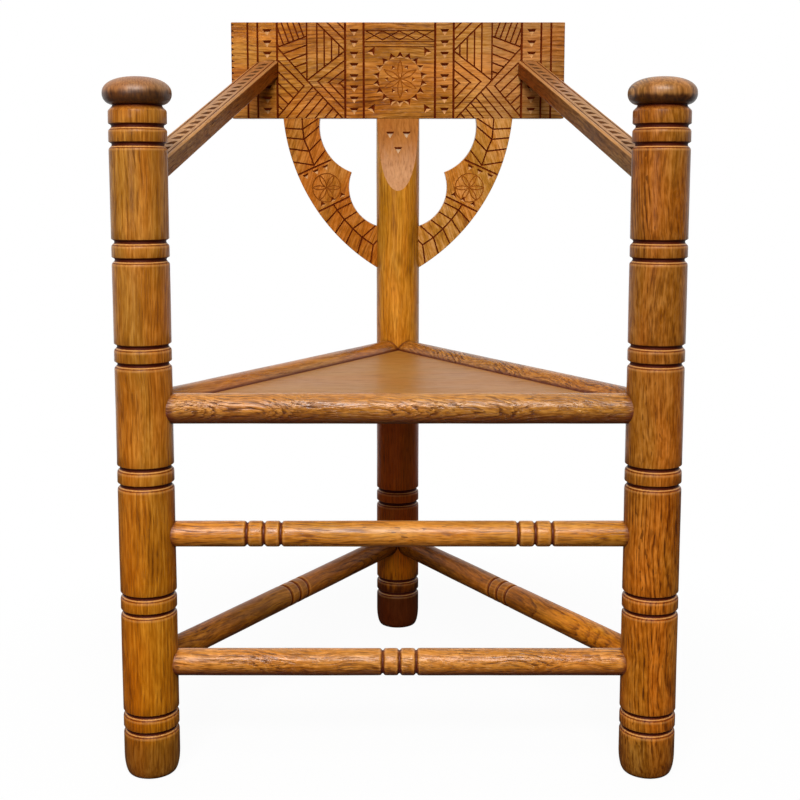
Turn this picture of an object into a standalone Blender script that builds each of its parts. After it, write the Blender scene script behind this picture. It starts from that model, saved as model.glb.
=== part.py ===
"""Three-legged oak armchair: turned posts on a triangular plan, a panel seat held in grooved rails,
ring-turned stretchers, rising arms, and a crest board on curved brackets.

Metres, +Z up, front towards -Y. The chair is laid out with its front posts on the plane Y = 0 and
hangs on one empty, which brings the middle of its footprint to the world origin.
"""

from math import cos, pi, radians, sin, tan

import bmesh
import bpy
from mathutils import Matrix, Vector

# Clearances
FIT_GAP = 0.0003
CUT_PAST = 0.02
MERGE_DISTANCE = 0.00001

# Facets of round forms
POST_FACETS = 24
BAR_FACETS = 20
TENON_FACETS = 12
FOOT_STEPS = 3
KNOB_STEPS = 5
ARC_STEPS = 8
SMOOTH_ANGLE = radians(35)

# Plan of the frame, between post axes
FRONT_SPACING = 0.560
REAR_SETBACK = 0.485

# Posts
POST_RADIUS = 0.031
FRONT_POST_TOP = 0.7436
NECK_STEP = 0.0045
NECK_DROP = 0.0050
FOOT_ROUNDING = 0.0080
REAR_POST_DROP = 0.0120
REAR_POST_CHAMFER = 0.0050

# Ring pairs: two V grooves with a band between them
BAND_WIDTH = 0.0194
RING_HALF_WIDTH = 0.0023
RING_DEPTH = 0.0026
RING_HEIGHTS = (0.0625, 0.1983, 0.3416, 0.4755, 0.5886)
TOP_RING_DROP = 0.0324
REAR_RING_COUNT = 3

# Knobs
KNOB_RADIUS = 0.0378
KNOB_CROWN = 0.0168
KNOB_UNDERCUT = 0.0128
KNOB_SEAT_RADIUS = 0.0255
KNOB_SHAPE = 2.3
KNOB_TENON_RADIUS = 0.0100
KNOB_TENON_LENGTH = 0.0280

# Seat
SEAT_RAIL_TOP = 0.4323
SEAT_RAIL_RADIUS = 0.0168
SEAT_TENON_RADIUS = 0.0090
PANEL_RISE = 0.0045
TONGUE_THICKNESS = 0.0080
TONGUE_DEPTH = 0.0090
FIELD_THICKNESS = 0.0080
FIELD_MARGIN = 0.0030
FIELD_RISE = 0.0006
FIELD_EDGE = 0.0012
PANEL_CORNER_GAP = 0.0020
FIELD_CORNER_CUT = 0.0100

# Stretchers
UPPER_STRETCHER_HEIGHT = 0.2744
UPPER_STRETCHER_RADIUS = 0.0143
UPPER_GROOVE_SPREAD = 0.1500
UPPER_TENON_REACH = 0.0080
LOWER_STRETCHER_HEIGHT = 0.1265
LOWER_STRETCHER_RADIUS = 0.0150
STRETCHER_TENON_RADIUS = 0.0080
GROOVE_PITCH = 0.0188
GROOVE_HALF_WIDTH = 0.0019
GROOVE_DEPTH = 0.0018

# Crest board, its face set back from the rear post's front, and the facet below it
CREST_BOTTOM = 0.7520
CREST_HEIGHT = 0.1352
CREST_WIDTH = 0.4760
CREST_THICKNESS = 0.0200
CREST_BEVEL = 0.0012
CREST_SETBACK = 0.0223
FACET_LENGTH = 0.1032

# Arms
ARM_WIDTH = 0.0307
ARM_HEIGHT = 0.0228
ARM_BEVEL = 0.0010
ARM_FRONT_DROP = 0.0804
ARM_REAR_RISE = 0.0685
ARM_REAR_INSET = 0.0505
ARM_TENON_RADIUS = 0.0080
ARM_TENON_REACH = 0.0060
ARM_TENON_ROOT = 0.0300
ARM_STUB_WIDTH = 0.0160
ARM_STUB_HEIGHT = 0.0110
ARM_STUB_DEPTH = 0.0120
ARM_STUB_ROOT = 0.0090

# Brackets, measured out from the rear post's axis and down from the crest board
BRACKET_THICKNESS = 0.0200
BRACKET_TOP_OUTER = 0.1645
BRACKET_TOP_INNER = 0.1122
BRACKET_HEEL_DROP = 0.2140
BRACKET_THROAT_DROP = 0.1540
BRACKET_CUSP_OUT = 0.0668
BRACKET_CUSP_DROP = 0.0766
BRACKET_OUTER_BULGE = 0.0297
BRACKET_UPPER_BULGE = 0.0162
BRACKET_LOWER_BULGE = 0.0183
BRACKET_TENON_THICKNESS = 0.0100
BRACKET_TENON_HEIGHT = 0.0240
BRACKET_TENON_REACH = 0.0120
BRACKET_TENON_ROOT = 0.0100

# Pegs through the rear post into the crest board, and dowels between brackets and board
PEG_RADIUS = 0.0045
PEG_DEPTH = 0.0100
PEG_SPACING = 0.0700
PEG_SET = 0.0006
DOWEL_RADIUS = 0.0040
DOWEL_DEPTH = 0.0160
DOWEL_SPACING = 0.0240

# Oak tones: linear colour and roughness
POST_OAK = ((0.40, 0.165, 0.042), 0.42)
RAIL_OAK = ((0.37, 0.150, 0.040), 0.40)
SEAT_OAK = ((0.43, 0.205, 0.068), 0.50)
CARVED_OAK = ((0.46, 0.190, 0.046), 0.44)
ARM_OAK = ((0.28, 0.125, 0.045), 0.46)
KNOB_OAK = ((0.21, 0.100, 0.045), 0.38)
PEG_OAK = ((0.30, 0.140, 0.050), 0.55)

# Places that follow from the sizes
UP = Vector((0, 0, 1))
FRONT_LEFT = Vector((-FRONT_SPACING / 2, 0, 0))
FRONT_RIGHT = Vector((FRONT_SPACING / 2, 0, 0))
REAR = Vector((0, REAR_SETBACK, 0))
SEAT_AXIS = SEAT_RAIL_TOP - SEAT_RAIL_RADIUS
PANEL_TOP = SEAT_AXIS + PANEL_RISE
TONGUE_TOP = PANEL_TOP - FIELD_RISE
CREST_TOP = CREST_BOTTOM + CREST_HEIGHT
REAR_POST_TOP = CREST_TOP - REAR_POST_DROP
REAR_POST_FRONT = REAR_SETBACK - POST_RADIUS
CREST_FRONT = REAR_POST_FRONT + CREST_SETBACK
CREST_BACK = CREST_FRONT + CREST_THICKNESS
BRACKET_TOP = CREST_BOTTOM - FIT_GAP
BRACKET_MIDDLE = CREST_FRONT + BRACKET_THICKNESS / 2
FOOTPRINT_MIDDLE = (REAR_SETBACK + POST_RADIUS - max(KNOB_RADIUS, POST_RADIUS)) / 2
SIDES = (("left", -1), ("right", 1))


def clear_scene():
    for thing in list(bpy.data.objects):
        bpy.data.objects.remove(thing, do_unlink=True)


def new_mesh(name, shape):
    """Turn a bmesh into a mesh with outward faces, smooth across shallow angles."""
    bmesh.ops.recalc_face_normals(shape, faces=shape.faces[:])
    mesh = bpy.data.meshes.new(name)
    shape.to_mesh(mesh)
    shape.free()
    mesh.shade_smooth()
    mesh.set_sharp_from_angle(angle=SMOOTH_ANGLE)
    return mesh


def turned(name, profile, facets):
    """Turn (radius, height) points, listed from top to bottom, about the local Z axis."""
    shape = bmesh.new()
    points = [shape.verts.new((radius, 0, height)) for radius, height in profile]
    edges = [shape.edges.new(pair) for pair in zip(points, points[1:])]
    bmesh.ops.spin(
        shape, geom=points + edges, cent=(0, 0, 0), axis=(0, 0, 1), angle=2 * pi, steps=facets
    )
    bmesh.ops.remove_doubles(shape, verts=shape.verts[:], dist=MERGE_DISTANCE)
    return new_mesh(name, shape)


def lofted(name, rings):
    """Join rings of equal point counts into one closed body with flat ends."""
    shape = bmesh.new()
    loops = [[shape.verts.new(point) for point in ring] for ring in rings]
    for lower, upper in zip(loops, loops[1:]):
        for here in range(len(lower)):
            ahead = (here + 1) % len(lower)
            shape.faces.new((lower[here], lower[ahead], upper[ahead], upper[here]))
    shape.faces.new(loops[0])
    shape.faces.new(loops[-1])
    return new_mesh(name, shape)


def block(name, low, high):
    """A box between two corners."""
    ring = [(low[0], low[1]), (high[0], low[1]), (high[0], high[1]), (low[0], high[1])]
    return lofted(name, [[(x, y, z) for x, y in ring] for z in (low[2], high[2])])


def oak(name, tone):
    colour, roughness = tone
    material = bpy.data.materials.new(name + "_oak")
    material.use_nodes = True
    shader = material.node_tree.nodes["Principled BSDF"]
    shader.inputs["Base Color"].default_value = (*colour, 1)
    shader.inputs["Roughness"].default_value = roughness
    shader.inputs["Metallic"].default_value = 0
    return material


def add(name, mesh, place, turn=None):
    """Put a mesh into the scene under the chair's empty, its local Z axis along turn."""
    thing = bpy.data.objects.new(name, mesh)
    bpy.context.scene.collection.objects.link(thing)
    thing.parent = bpy.data.objects["chair"]
    thing.location = place
    if turn is not None:
        thing.rotation_euler = turn.to_track_quat("Z", "Y").to_euler()
    return thing


def part(name, mesh, place, tone, turn=None):
    mesh.materials.append(oak(name, tone))
    return add(name, mesh, place, turn)


def tool(name, mesh, place, turn=None):
    """A body that only cuts or extends others."""
    thing = add(name, mesh, place, turn)
    thing.hide_render = True
    thing.display_type = "WIRE"
    return thing


def combine(piece, other, operation):
    modifier = piece.modifiers.new(other.name, "BOOLEAN")
    modifier.operation = operation
    modifier.solver = "EXACT"
    modifier.object = other


def cut(piece, *tools):
    for cutter in tools:
        combine(piece, cutter, "DIFFERENCE")


def extend(piece, addition):
    combine(piece, addition, "UNION")


def bevel(piece, width):
    modifier = piece.modifiers.new("edges", "BEVEL")
    modifier.width = width
    modifier.segments = 1


def rod(name, start, end, radius, facets=TENON_FACETS):
    """A round tool between two points."""
    along = end - start
    profile = ((0, along.length), (radius, along.length), (radius, 0), (0, 0))
    return tool(name, turned(name, profile, facets), start, along)


def grown_rod(name, start, end, radius, facets=TENON_FACETS):
    """The hole for a rod: wider all round and longer at both ends by the fit."""
    reach = (end - start).normalized() * FIT_GAP
    return rod(name, start - reach, end + reach, radius + FIT_GAP, facets)


def groove(radius, height, half_width, depth):
    return [(radius, height + half_width), (radius - depth, height), (radius, height - half_width)]


def ring_pair(height):
    points = []
    for offset in (BAND_WIDTH / 2, -BAND_WIDTH / 2):
        points += groove(POST_RADIUS, height + offset, RING_HALF_WIDTH, RING_DEPTH)
    return points


def foot():
    """The rounded lower edge of a post, down to its flat foot."""
    points = []
    for step in range(FOOT_STEPS + 1):
        angle = pi / 2 * step / FOOT_STEPS
        radius = POST_RADIUS - FOOT_ROUNDING * (1 - cos(angle))
        points.append((radius, FOOT_ROUNDING * (1 - sin(angle))))
    return points + [(0, 0)]


def front_post_profile():
    points = [
        (0, FRONT_POST_TOP),
        (POST_RADIUS - NECK_STEP, FRONT_POST_TOP),
        (POST_RADIUS, FRONT_POST_TOP - NECK_DROP),
    ]
    points += ring_pair(FRONT_POST_TOP - TOP_RING_DROP)
    for height in reversed(RING_HEIGHTS):
        points += ring_pair(height)
    return points + foot()


def rear_post_profile():
    points = [
        (0, REAR_POST_TOP),
        (POST_RADIUS - REAR_POST_CHAMFER, REAR_POST_TOP),
        (POST_RADIUS, REAR_POST_TOP - REAR_POST_CHAMFER),
    ]
    for height in reversed(RING_HEIGHTS[:REAR_RING_COUNT]):
        points += ring_pair(height)
    return points + foot()


def make_posts():
    posts = {
        "front_left_post": (FRONT_LEFT, front_post_profile()),
        "front_right_post": (FRONT_RIGHT, front_post_profile()),
        "rear_post": (REAR, rear_post_profile()),
    }
    for name, (place, profile) in posts.items():
        part(name, turned(name, profile, POST_FACETS), place, POST_OAK)
        cope_radius = POST_RADIUS + FIT_GAP
        cope_top = max(FRONT_POST_TOP, REAR_POST_TOP) + CUT_PAST
        cope = ((0, cope_top), (cope_radius, cope_top), (cope_radius, -CUT_PAST), (0, -CUT_PAST))
        tool(name + "_cope", turned(name + "_cope", cope, POST_FACETS), place)


def knob_profile():
    """A bun on a round tenon: crown and underside are quarters of one superellipse family."""
    widest = FRONT_POST_TOP + FIT_GAP + KNOB_UNDERCUT
    points = []
    for step in range(KNOB_STEPS + 1):
        angle = pi / 2 * step / KNOB_STEPS
        out = sin(angle) ** (2 / KNOB_SHAPE)
        rise = cos(angle) ** (2 / KNOB_SHAPE)
        points.append((KNOB_RADIUS * out, widest + KNOB_CROWN * rise))
    overhang = KNOB_RADIUS - KNOB_SEAT_RADIUS
    for step in range(1, KNOB_STEPS + 1):
        angle = pi / 2 * step / KNOB_STEPS
        points.append(
            (KNOB_SEAT_RADIUS + overhang * cos(angle), widest - KNOB_UNDERCUT * sin(angle))
        )
    tenon_end = FRONT_POST_TOP + FIT_GAP - KNOB_TENON_LENGTH
    points += [(KNOB_TENON_RADIUS, FRONT_POST_TOP + FIT_GAP)]
    return points + [(KNOB_TENON_RADIUS, tenon_end), (0, tenon_end)]


def make_knobs():
    for side, sign in SIDES:
        name = side + "_knob"
        place = Vector((sign * FRONT_SPACING / 2, 0, 0))
        part(name, turned(name, knob_profile(), POST_FACETS), place, KNOB_OAK)
        end = place + UP * (FRONT_POST_TOP + FIT_GAP - KNOB_TENON_LENGTH)
        top = place + UP * (FRONT_POST_TOP + CUT_PAST)
        socket = grown_rod(name + "_socket", end, top, KNOB_TENON_RADIUS, POST_FACETS)
        cut(bpy.data.objects[f"front_{side}_post"], socket)


def corner_half_angle(corner, first, second):
    return (first - corner).angle(second - corner) / 2


def shared_reach(corner, first, second, radius):
    """How near a post's axis two tenons that meet there can come without touching."""
    return (radius + FIT_GAP) / tan(corner_half_angle(corner, first, second)) + FIT_GAP


def bar_profile(length, radius, grooves):
    points = [(0, length), (radius, length)]
    for height in sorted(grooves, reverse=True):
        points += groove(radius, height, GROOVE_HALF_WIDTH, GROOVE_DEPTH)
    return points + [(radius, 0), (0, 0)]


def make_bar(name, ends, height, radius, tenon_radius, reaches, grooves=()):
    """A round bar between two posts: coped to them, with a round tenon in each.

    ends are (post name, axis) pairs, reaches the tenons' distances from the post axes, and grooves
    the places of ring grooves, measured from the bar's middle.
    """
    (first_name, first), (last_name, last) = ends
    start = first + UP * height
    end = last + UP * height
    along = (end - start).normalized()
    middle = (end - start).length / 2
    places = [middle + place for place in grooves]
    profile = bar_profile(2 * middle, radius, places)
    bar = part(name, turned(name, profile, BAR_FACETS), start, RAIL_OAK, along)
    cut(bar, *(bpy.data.objects[post + "_cope"] for post in (first_name, last_name)))
    tenon_start = start + along * reaches[0]
    tenon_end = end - along * reaches[1]
    extend(bar, rod(name + "_tenon", tenon_start, tenon_end, tenon_radius))
    mortise = grown_rod(name + "_mortise", tenon_start, tenon_end, tenon_radius)
    for post in (first_name, last_name):
        cut(bpy.data.objects[post], mortise)
    return bar


def make_mitre(rail, corner, own, other):
    """Trim a seat rail where it would run into its neighbour beside a post."""
    along = (own - corner).normalized()
    towards = (other - corner).normalized()
    bisector = (along + towards).normalized()
    across = (towards - along).normalized()
    span = 2 * (POST_RADIUS + SEAT_RAIL_RADIUS)
    near = -across * FIT_GAP / 2
    plan = (near, near + bisector * span, near + (bisector + across) * span, near + across * span)
    rings = [[point + UP * height for point in plan] for height in (-span, span)]
    name = f"{rail.name}_mitre_{len(rail.modifiers)}"
    cut(rail, tool(name, lofted(name, rings), corner + UP * SEAT_AXIS))


def seat_outline(inset, corner_cut, height):
    """Six points: the rails' triangle drawn in by inset, its corners cut square to their bisectors."""
    corners = (FRONT_LEFT, FRONT_RIGHT, REAR)
    points = []
    for place, corner in enumerate(corners):
        before = (corners[place - 1] - corner).normalized()
        after = (corners[(place + 1) % 3] - corner).normalized()
        half = before.angle(after) / 2
        distance = corner_cut(half)
        run = (distance - inset * sin(half)) / cos(half)
        inward_before = before.cross(UP)
        inward_after = UP.cross(after)
        points.append(corner + before * run + inward_before * inset + UP * height)
        points.append(corner + after * run + inward_after * inset + UP * height)
    return points


def tongue_rings(grow):
    """The panel's edge, or with grow the groove that holds it."""

    def corner_cut(half):
        return POST_RADIUS + PANEL_CORNER_GAP - grow

    inset = SEAT_RAIL_RADIUS - TONGUE_DEPTH - grow
    heights = (TONGUE_TOP - TONGUE_THICKNESS - grow, TONGUE_TOP + grow)
    return [seat_outline(inset, corner_cut, height) for height in heights]


def field_ring(inset, height):
    """The panel's thicker middle, clear of the rails."""

    def corner_cut(half):
        return inset / sin(half) + FIELD_CORNER_CUT

    return seat_outline(inset, corner_cut, height)


def make_seat():
    posts = {"front_left_post": FRONT_LEFT, "front_right_post": FRONT_RIGHT, "rear_post": REAR}
    rails = (
        ("front_seat_rail", "front_left_post", "front_right_post", "rear_post"),
        ("left_seat_rail", "front_left_post", "rear_post", "front_right_post"),
        ("right_seat_rail", "front_right_post", "rear_post", "front_left_post"),
    )
    groove_tool = tool("panel_groove", lofted("panel_groove", tongue_rings(FIT_GAP)), (0, 0, 0))
    for name, first, last, opposite in rails:
        ends = [(post, posts[post]) for post in (first, last)]
        reaches = [
            shared_reach(posts[here], posts[there], posts[opposite], SEAT_TENON_RADIUS)
            for here, there in ((first, last), (last, first))
        ]
        rail = make_bar(
            name, ends, SEAT_AXIS, SEAT_RAIL_RADIUS, SEAT_TENON_RADIUS, reaches
        )
        cut(rail, groove_tool)
        make_mitre(rail, posts[first], posts[last], posts[opposite])
        make_mitre(rail, posts[last], posts[first], posts[opposite])
    tongue_bottom = TONGUE_TOP - TONGUE_THICKNESS
    inset = SEAT_RAIL_RADIUS + FIELD_MARGIN
    rings = [field_ring(inset, height) for height in (tongue_bottom - FIELD_THICKNESS, tongue_bottom)]
    rings += tongue_rings(0)
    rings += [field_ring(inset, TONGUE_TOP), field_ring(inset + FIELD_EDGE, PANEL_TOP)]
    part("seat_panel", lofted("seat_panel", rings), (0, 0, 0), SEAT_OAK)


def make_stretchers():
    left = ("front_left_post", FRONT_LEFT)
    right = ("front_right_post", FRONT_RIGHT)
    rear = ("rear_post", REAR)
    trio = (-GROOVE_PITCH, 0, GROOVE_PITCH)
    make_bar(
        "upper_front_stretcher",
        (left, right),
        UPPER_STRETCHER_HEIGHT,
        UPPER_STRETCHER_RADIUS,
        STRETCHER_TENON_RADIUS,
        (UPPER_TENON_REACH, UPPER_TENON_REACH),
        [group + place for group in (-UPPER_GROOVE_SPREAD, UPPER_GROOVE_SPREAD) for place in trio],
    )
    lower = (
        ("lower_front_stretcher", left, right, rear),
        ("left_side_stretcher", left, rear, right),
        ("right_side_stretcher", right, rear, left),
    )
    for name, first, last, opposite in lower:
        reaches = [
            shared_reach(here[1], there[1], opposite[1], STRETCHER_TENON_RADIUS)
            for here, there in ((first, last), (last, first))
        ]
        make_bar(
            name,
            (first, last),
            LOWER_STRETCHER_HEIGHT,
            LOWER_STRETCHER_RADIUS,
            STRETCHER_TENON_RADIUS,
            reaches,
            trio,
        )


def make_crest():
    low = (-CREST_WIDTH / 2, CREST_FRONT, CREST_BOTTOM)
    high = (CREST_WIDTH / 2, CREST_BACK, CREST_TOP)
    crest = part("crest_board", block("crest_board", low, high), (0, 0, 0), CARVED_OAK)
    bevel(crest, CREST_BEVEL)
    cut(bpy.data.objects["rear_post"], make_notch())
    middle = (CREST_BOTTOM + CREST_TOP) / 2
    for word, sign in (("upper", 1), ("lower", -1)):
        height = middle + sign * PEG_SPACING / 2
        tip = Vector((0, CREST_BACK - PEG_DEPTH, height))
        head = Vector((0, REAR_SETBACK + POST_RADIUS - PEG_SET, height))
        make_pin("crest_peg_" + word, tip, head, PEG_RADIUS, ("rear_post", "crest_board"), CUT_PAST)


def make_notch():
    """The cut in the rear post: a seat and ledge for the crest board, and below the ledge a sloping
    facet that runs from the board's face out to the round of the post."""
    floor = CREST_BACK + FIT_GAP
    ledge = CREST_BOTTOM - FIT_GAP
    slope = CREST_SETBACK / FACET_LENGTH
    outline = (
        (REAR_POST_FRONT - CUT_PAST, REAR_POST_TOP + CUT_PAST),
        (floor, REAR_POST_TOP + CUT_PAST),
        (floor, ledge),
        (CREST_FRONT, ledge),
        (REAR_POST_FRONT - CUT_PAST, ledge - FACET_LENGTH - CUT_PAST / slope),
    )
    half = POST_RADIUS + CUT_PAST
    rings = [[(x, y, z) for y, z in outline] for x in (-half, half)]
    return tool("crest_notch", lofted("crest_notch", rings), (0, 0, 0))


def make_pin(name, start, end, radius, carriers, past=0):
    """A round pin with its hole in the pieces that it joins. A through hole runs past the pin's end."""
    along = end - start
    profile = ((0, along.length), (radius, along.length), (radius, 0), (0, 0))
    part(name, turned(name, profile, TENON_FACETS), start, PEG_OAK, along)
    hole = grown_rod(name + "_hole", start, end + along.normalized() * past, radius)
    for carrier in carriers:
        cut(bpy.data.objects[carrier], hole)


def make_arm(side, sign):
    """A bar of rectangular section, coped and tenoned to its post and stub-tenoned into the crest."""
    name = side + "_arm"
    front = Vector((sign * FRONT_SPACING / 2, 0, FRONT_POST_TOP - ARM_FRONT_DROP))
    rear = Vector(
        (sign * (CREST_WIDTH / 2 - ARM_REAR_INSET), CREST_FRONT, CREST_BOTTOM + ARM_REAR_RISE)
    )
    along = (rear - front).normalized()
    across = along.cross(UP).normalized()
    upward = across.cross(along)
    section = [(-1, -1), (1, -1), (1, 1), (-1, 1)]
    start = [across * u * ARM_WIDTH / 2 + upward * v * ARM_HEIGHT / 2 for u, v in section]
    stop = CREST_FRONT - FIT_GAP - front.y
    end = [corner + along * ((stop - corner.y) / along.y) for corner in start]
    arm = part(name, lofted(name, [start, end]), front, ARM_OAK)
    bevel(arm, ARM_BEVEL)
    cut(arm, bpy.data.objects[f"front_{side}_post_cope"])
    tenon_start = front + along * ARM_TENON_REACH
    tenon_end = front + along * (POST_RADIUS + ARM_TENON_ROOT)
    extend(arm, rod(name + "_tenon", tenon_start, tenon_end, ARM_TENON_RADIUS))
    mortise = grown_rod(name + "_mortise", tenon_start, tenon_end, ARM_TENON_RADIUS)
    cut(bpy.data.objects[f"front_{side}_post"], mortise)
    extend(arm, make_stub(name + "_stub", rear, 0))
    cut(bpy.data.objects["crest_board"], make_stub(name + "_stub_mortise", rear, FIT_GAP))


def make_stub(name, rear, grow):
    """The arm's square stub in the crest board, or with grow its mortise."""
    half = Vector((ARM_STUB_WIDTH / 2 + grow, 0, ARM_STUB_HEIGHT / 2 + grow))
    root = Vector((0, ARM_STUB_ROOT, 0))
    depth = Vector((0, ARM_STUB_DEPTH + grow, 0))
    return tool(name, block(name, -half - root, half + depth), rear)


def arc(start, end, bulge):
    """Points of a circular arc from start towards end, standing bulge to the left of the chord."""
    chord = end - start
    half = chord.length / 2
    radius = (half * half + bulge * bulge) / (2 * bulge)
    normal = Vector((-chord.y, chord.x)).normalized()
    centre = (start + end) / 2 + normal * (bulge - radius)
    sweep = (start - centre).angle_signed(end - centre)
    spoke = start - centre
    return [centre + spoke_at(spoke, -sweep * step / ARC_STEPS) for step in range(ARC_STEPS)]


def spoke_at(spoke, angle):
    return Matrix.Rotation(angle, 2) @ spoke


def bracket_outline():
    """Out from the post's axis and up from the crest's lower edge: a bowed back, two scallops and
    the cusp between them."""
    heel = Vector((POST_RADIUS, -BRACKET_HEEL_DROP))
    throat = Vector((POST_RADIUS, -BRACKET_THROAT_DROP))
    inside_post = Vector((0, -(BRACKET_HEEL_DROP + BRACKET_THROAT_DROP) / 2))
    cusp = Vector((BRACKET_CUSP_OUT, -BRACKET_CUSP_DROP))
    outer = Vector((BRACKET_TOP_OUTER, 0))
    inner = Vector((BRACKET_TOP_INNER, 0))
    points = [inside_post]
    points += arc(heel, outer, -BRACKET_OUTER_BULGE)
    points.append(outer)
    points += arc(inner, cusp, BRACKET_UPPER_BULGE)
    points += arc(cusp, throat, BRACKET_LOWER_BULGE)
    points.append(throat)
    return points


def make_bracket(side, sign):
    name = side + "_bracket"
    faces = (CREST_FRONT, CREST_FRONT + BRACKET_THICKNESS)
    outline = [(sign * point.x, BRACKET_TOP + point.y) for point in bracket_outline()]
    rings = [[(x, y, z) for x, z in outline] for y in faces]
    bracket = part(name, lofted(name, rings), (0, 0, 0), CARVED_OAK)
    cut(bracket, bpy.data.objects["rear_post_cope"])
    extend(bracket, make_bracket_tenon(name + "_tenon", sign, 0))
    mortise = make_bracket_tenon(name + "_mortise", sign, FIT_GAP)
    cut(bpy.data.objects["rear_post"], mortise)
    middle = (BRACKET_TOP_OUTER + BRACKET_TOP_INNER) / 2
    for word, step in (("outer", 1), ("inner", -1)):
        across = sign * (middle + step * DOWEL_SPACING / 2)
        foot_end = Vector((across, BRACKET_MIDDLE, BRACKET_TOP - DOWEL_DEPTH))
        head_end = Vector((across, BRACKET_MIDDLE, CREST_BOTTOM + DOWEL_DEPTH))
        make_pin(f"{name}_dowel_{word}", foot_end, head_end, DOWEL_RADIUS, (name, "crest_board"))


def make_bracket_tenon(name, sign, grow):
    height = BRACKET_TOP - (BRACKET_HEEL_DROP + BRACKET_THROAT_DROP) / 2
    reach = sign * (BRACKET_TENON_REACH - grow)
    root = sign * (POST_RADIUS + BRACKET_TENON_ROOT)
    half_thickness = BRACKET_TENON_THICKNESS / 2 + grow
    half_height = BRACKET_TENON_HEIGHT / 2 + grow
    low = (min(reach, root), -half_thickness, -half_height)
    high = (max(reach, root), half_thickness, half_height)
    return tool(name, block(name, low, high), (0, BRACKET_MIDDLE, height))


def make_chair():
    clear_scene()
    chair = bpy.data.objects.new("chair", None)
    bpy.context.scene.collection.objects.link(chair)
    chair.location = (0, -FOOTPRINT_MIDDLE, 0)
    make_posts()
    make_knobs()
    make_seat()
    make_stretchers()
    make_crest()
    for side, sign in SIDES:
        make_arm(side, sign)
        make_bracket(side, sign)


make_chair()
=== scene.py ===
"""Looks of the three-legged carved oak armchair: turned, coped and chip-carved pieces in place of the
plain solids, oak made of shader nodes, a pale stage, soft light and the photograph's camera.

Metres, +Z up, front towards -Y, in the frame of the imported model.
"""

from collections import namedtuple
from math import atan2, cos, pi, radians, sin, sqrt, tan

import bmesh
import bpy
from mathutils import Matrix, Vector, noise


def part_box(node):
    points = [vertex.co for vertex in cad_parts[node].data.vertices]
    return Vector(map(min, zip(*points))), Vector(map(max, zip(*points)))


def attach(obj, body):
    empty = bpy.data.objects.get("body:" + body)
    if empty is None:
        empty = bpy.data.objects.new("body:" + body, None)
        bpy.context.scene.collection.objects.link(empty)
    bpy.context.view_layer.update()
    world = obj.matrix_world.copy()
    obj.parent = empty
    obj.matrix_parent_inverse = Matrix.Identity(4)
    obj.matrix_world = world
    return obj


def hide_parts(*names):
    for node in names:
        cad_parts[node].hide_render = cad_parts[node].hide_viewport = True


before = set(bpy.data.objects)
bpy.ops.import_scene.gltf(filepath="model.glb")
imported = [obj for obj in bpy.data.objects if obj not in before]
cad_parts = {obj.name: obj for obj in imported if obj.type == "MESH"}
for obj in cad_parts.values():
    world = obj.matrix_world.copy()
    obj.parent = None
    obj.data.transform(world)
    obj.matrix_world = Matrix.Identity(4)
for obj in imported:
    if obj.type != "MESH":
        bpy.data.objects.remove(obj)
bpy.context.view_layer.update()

UP = Vector((0, 0, 1))
SIDES = (("left", -1), ("right", 1))

# Fineness of the meshes
POST_SEGMENTS = 96
BAR_SEGMENTS = 64
STATION_STEP = 0.012
ARC_STEPS = 28
BEVEL_STEPS = 2
SMOOTH_ANGLE = radians(38)
FLAT_ANGLE = radians(14)
CORNER_ANGLE = radians(40)
MERGE_DISTANCE = 0.000002
PARALLEL = 1e-9
OVERLAP = 0.0002

# Hand-turned unevenness of round pieces
UNEVEN = 0.00022
UNEVEN_PITCH = 14.0

# Posts: ring pairs, feet, and the neck under a knob as drops from the top, insets and stain_and_shade
# values; the dark at the neck is painted shade under the knob
BAND_WIDTH = 0.0194
RING_HEIGHTS = (0.0625, 0.1983, 0.3416, 0.4755, 0.5886)
TOP_RING_DROP = 0.0324
REAR_RING_COUNT = 3
REAR_POST_CHAMFER = 0.0050
FOOT_RISE = 0.0240
FOOT_INSET = 0.0062
FOOT_STEPS = 10
FOOT_DIRT = 0.30
FOOT_DIRT_FALL = 0.5
FOOT_DIRT_END = 0.10
FOOT_DIRT_TOP = 0.0440
NECK = (
    (0.0072, 0.0000, 0.00),
    (0.0056, 0.0006, 0.05),
    (0.0024, 0.0038, 0.50),
    (0.0014, 0.0044, 0.95),
    (0.0000, 0.0048, 1.00),
)
POST_SEEDS = (3, 8)
REAR_POST_SEED = 23

# One V groove across a turned piece: offset along the axis, depth and stain_and_shade value, from its
# upper lip down. Inside the groove the value is staining and painted shade, above 1 deeper painted shade.
# Below zero it is a paler rubbed edge with a painted highlight; the rows at -0.80 are a painted glint.
RING_GROOVE = (
    (0.0034, 0.0000, 0.00),
    (0.0030, 0.0002, -0.10),
    (0.0026, 0.0008, 1.00),
    (0.0014, 0.0030, 1.45),
    (-0.0002, 0.0034, 1.45),
    (-0.0010, 0.0031, 1.30),
    (-0.0015, 0.0027, 0.70),
    (-0.0019, 0.0023, -0.80),
    (-0.0025, 0.0018, -0.80),
    (-0.0031, 0.0012, 0.80),
    (-0.0037, 0.0007, 0.75),
    (-0.0042, 0.0004, 0.05),
    (-0.0047, 0.0002, -0.30),
    (-0.0058, 0.0000, -0.20),
    (-0.0072, 0.0000, 0.00),
)
# Half of a bar's groove, mirrored below: a paler rubbed lip with a painted highlight, then staining and
# painted shade inside
BAR_LIP = ((0.0060, 0.0000, -0.10), (0.0030, 0.0001, -0.40), (0.0019, 0.0006, 0.50), (0.0006, 0.0022, 1.00))
BAR_GROOVE = BAR_LIP + tuple((-offset, depth, stain_and_shade) for offset, depth, stain_and_shade in reversed(BAR_LIP))

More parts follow.
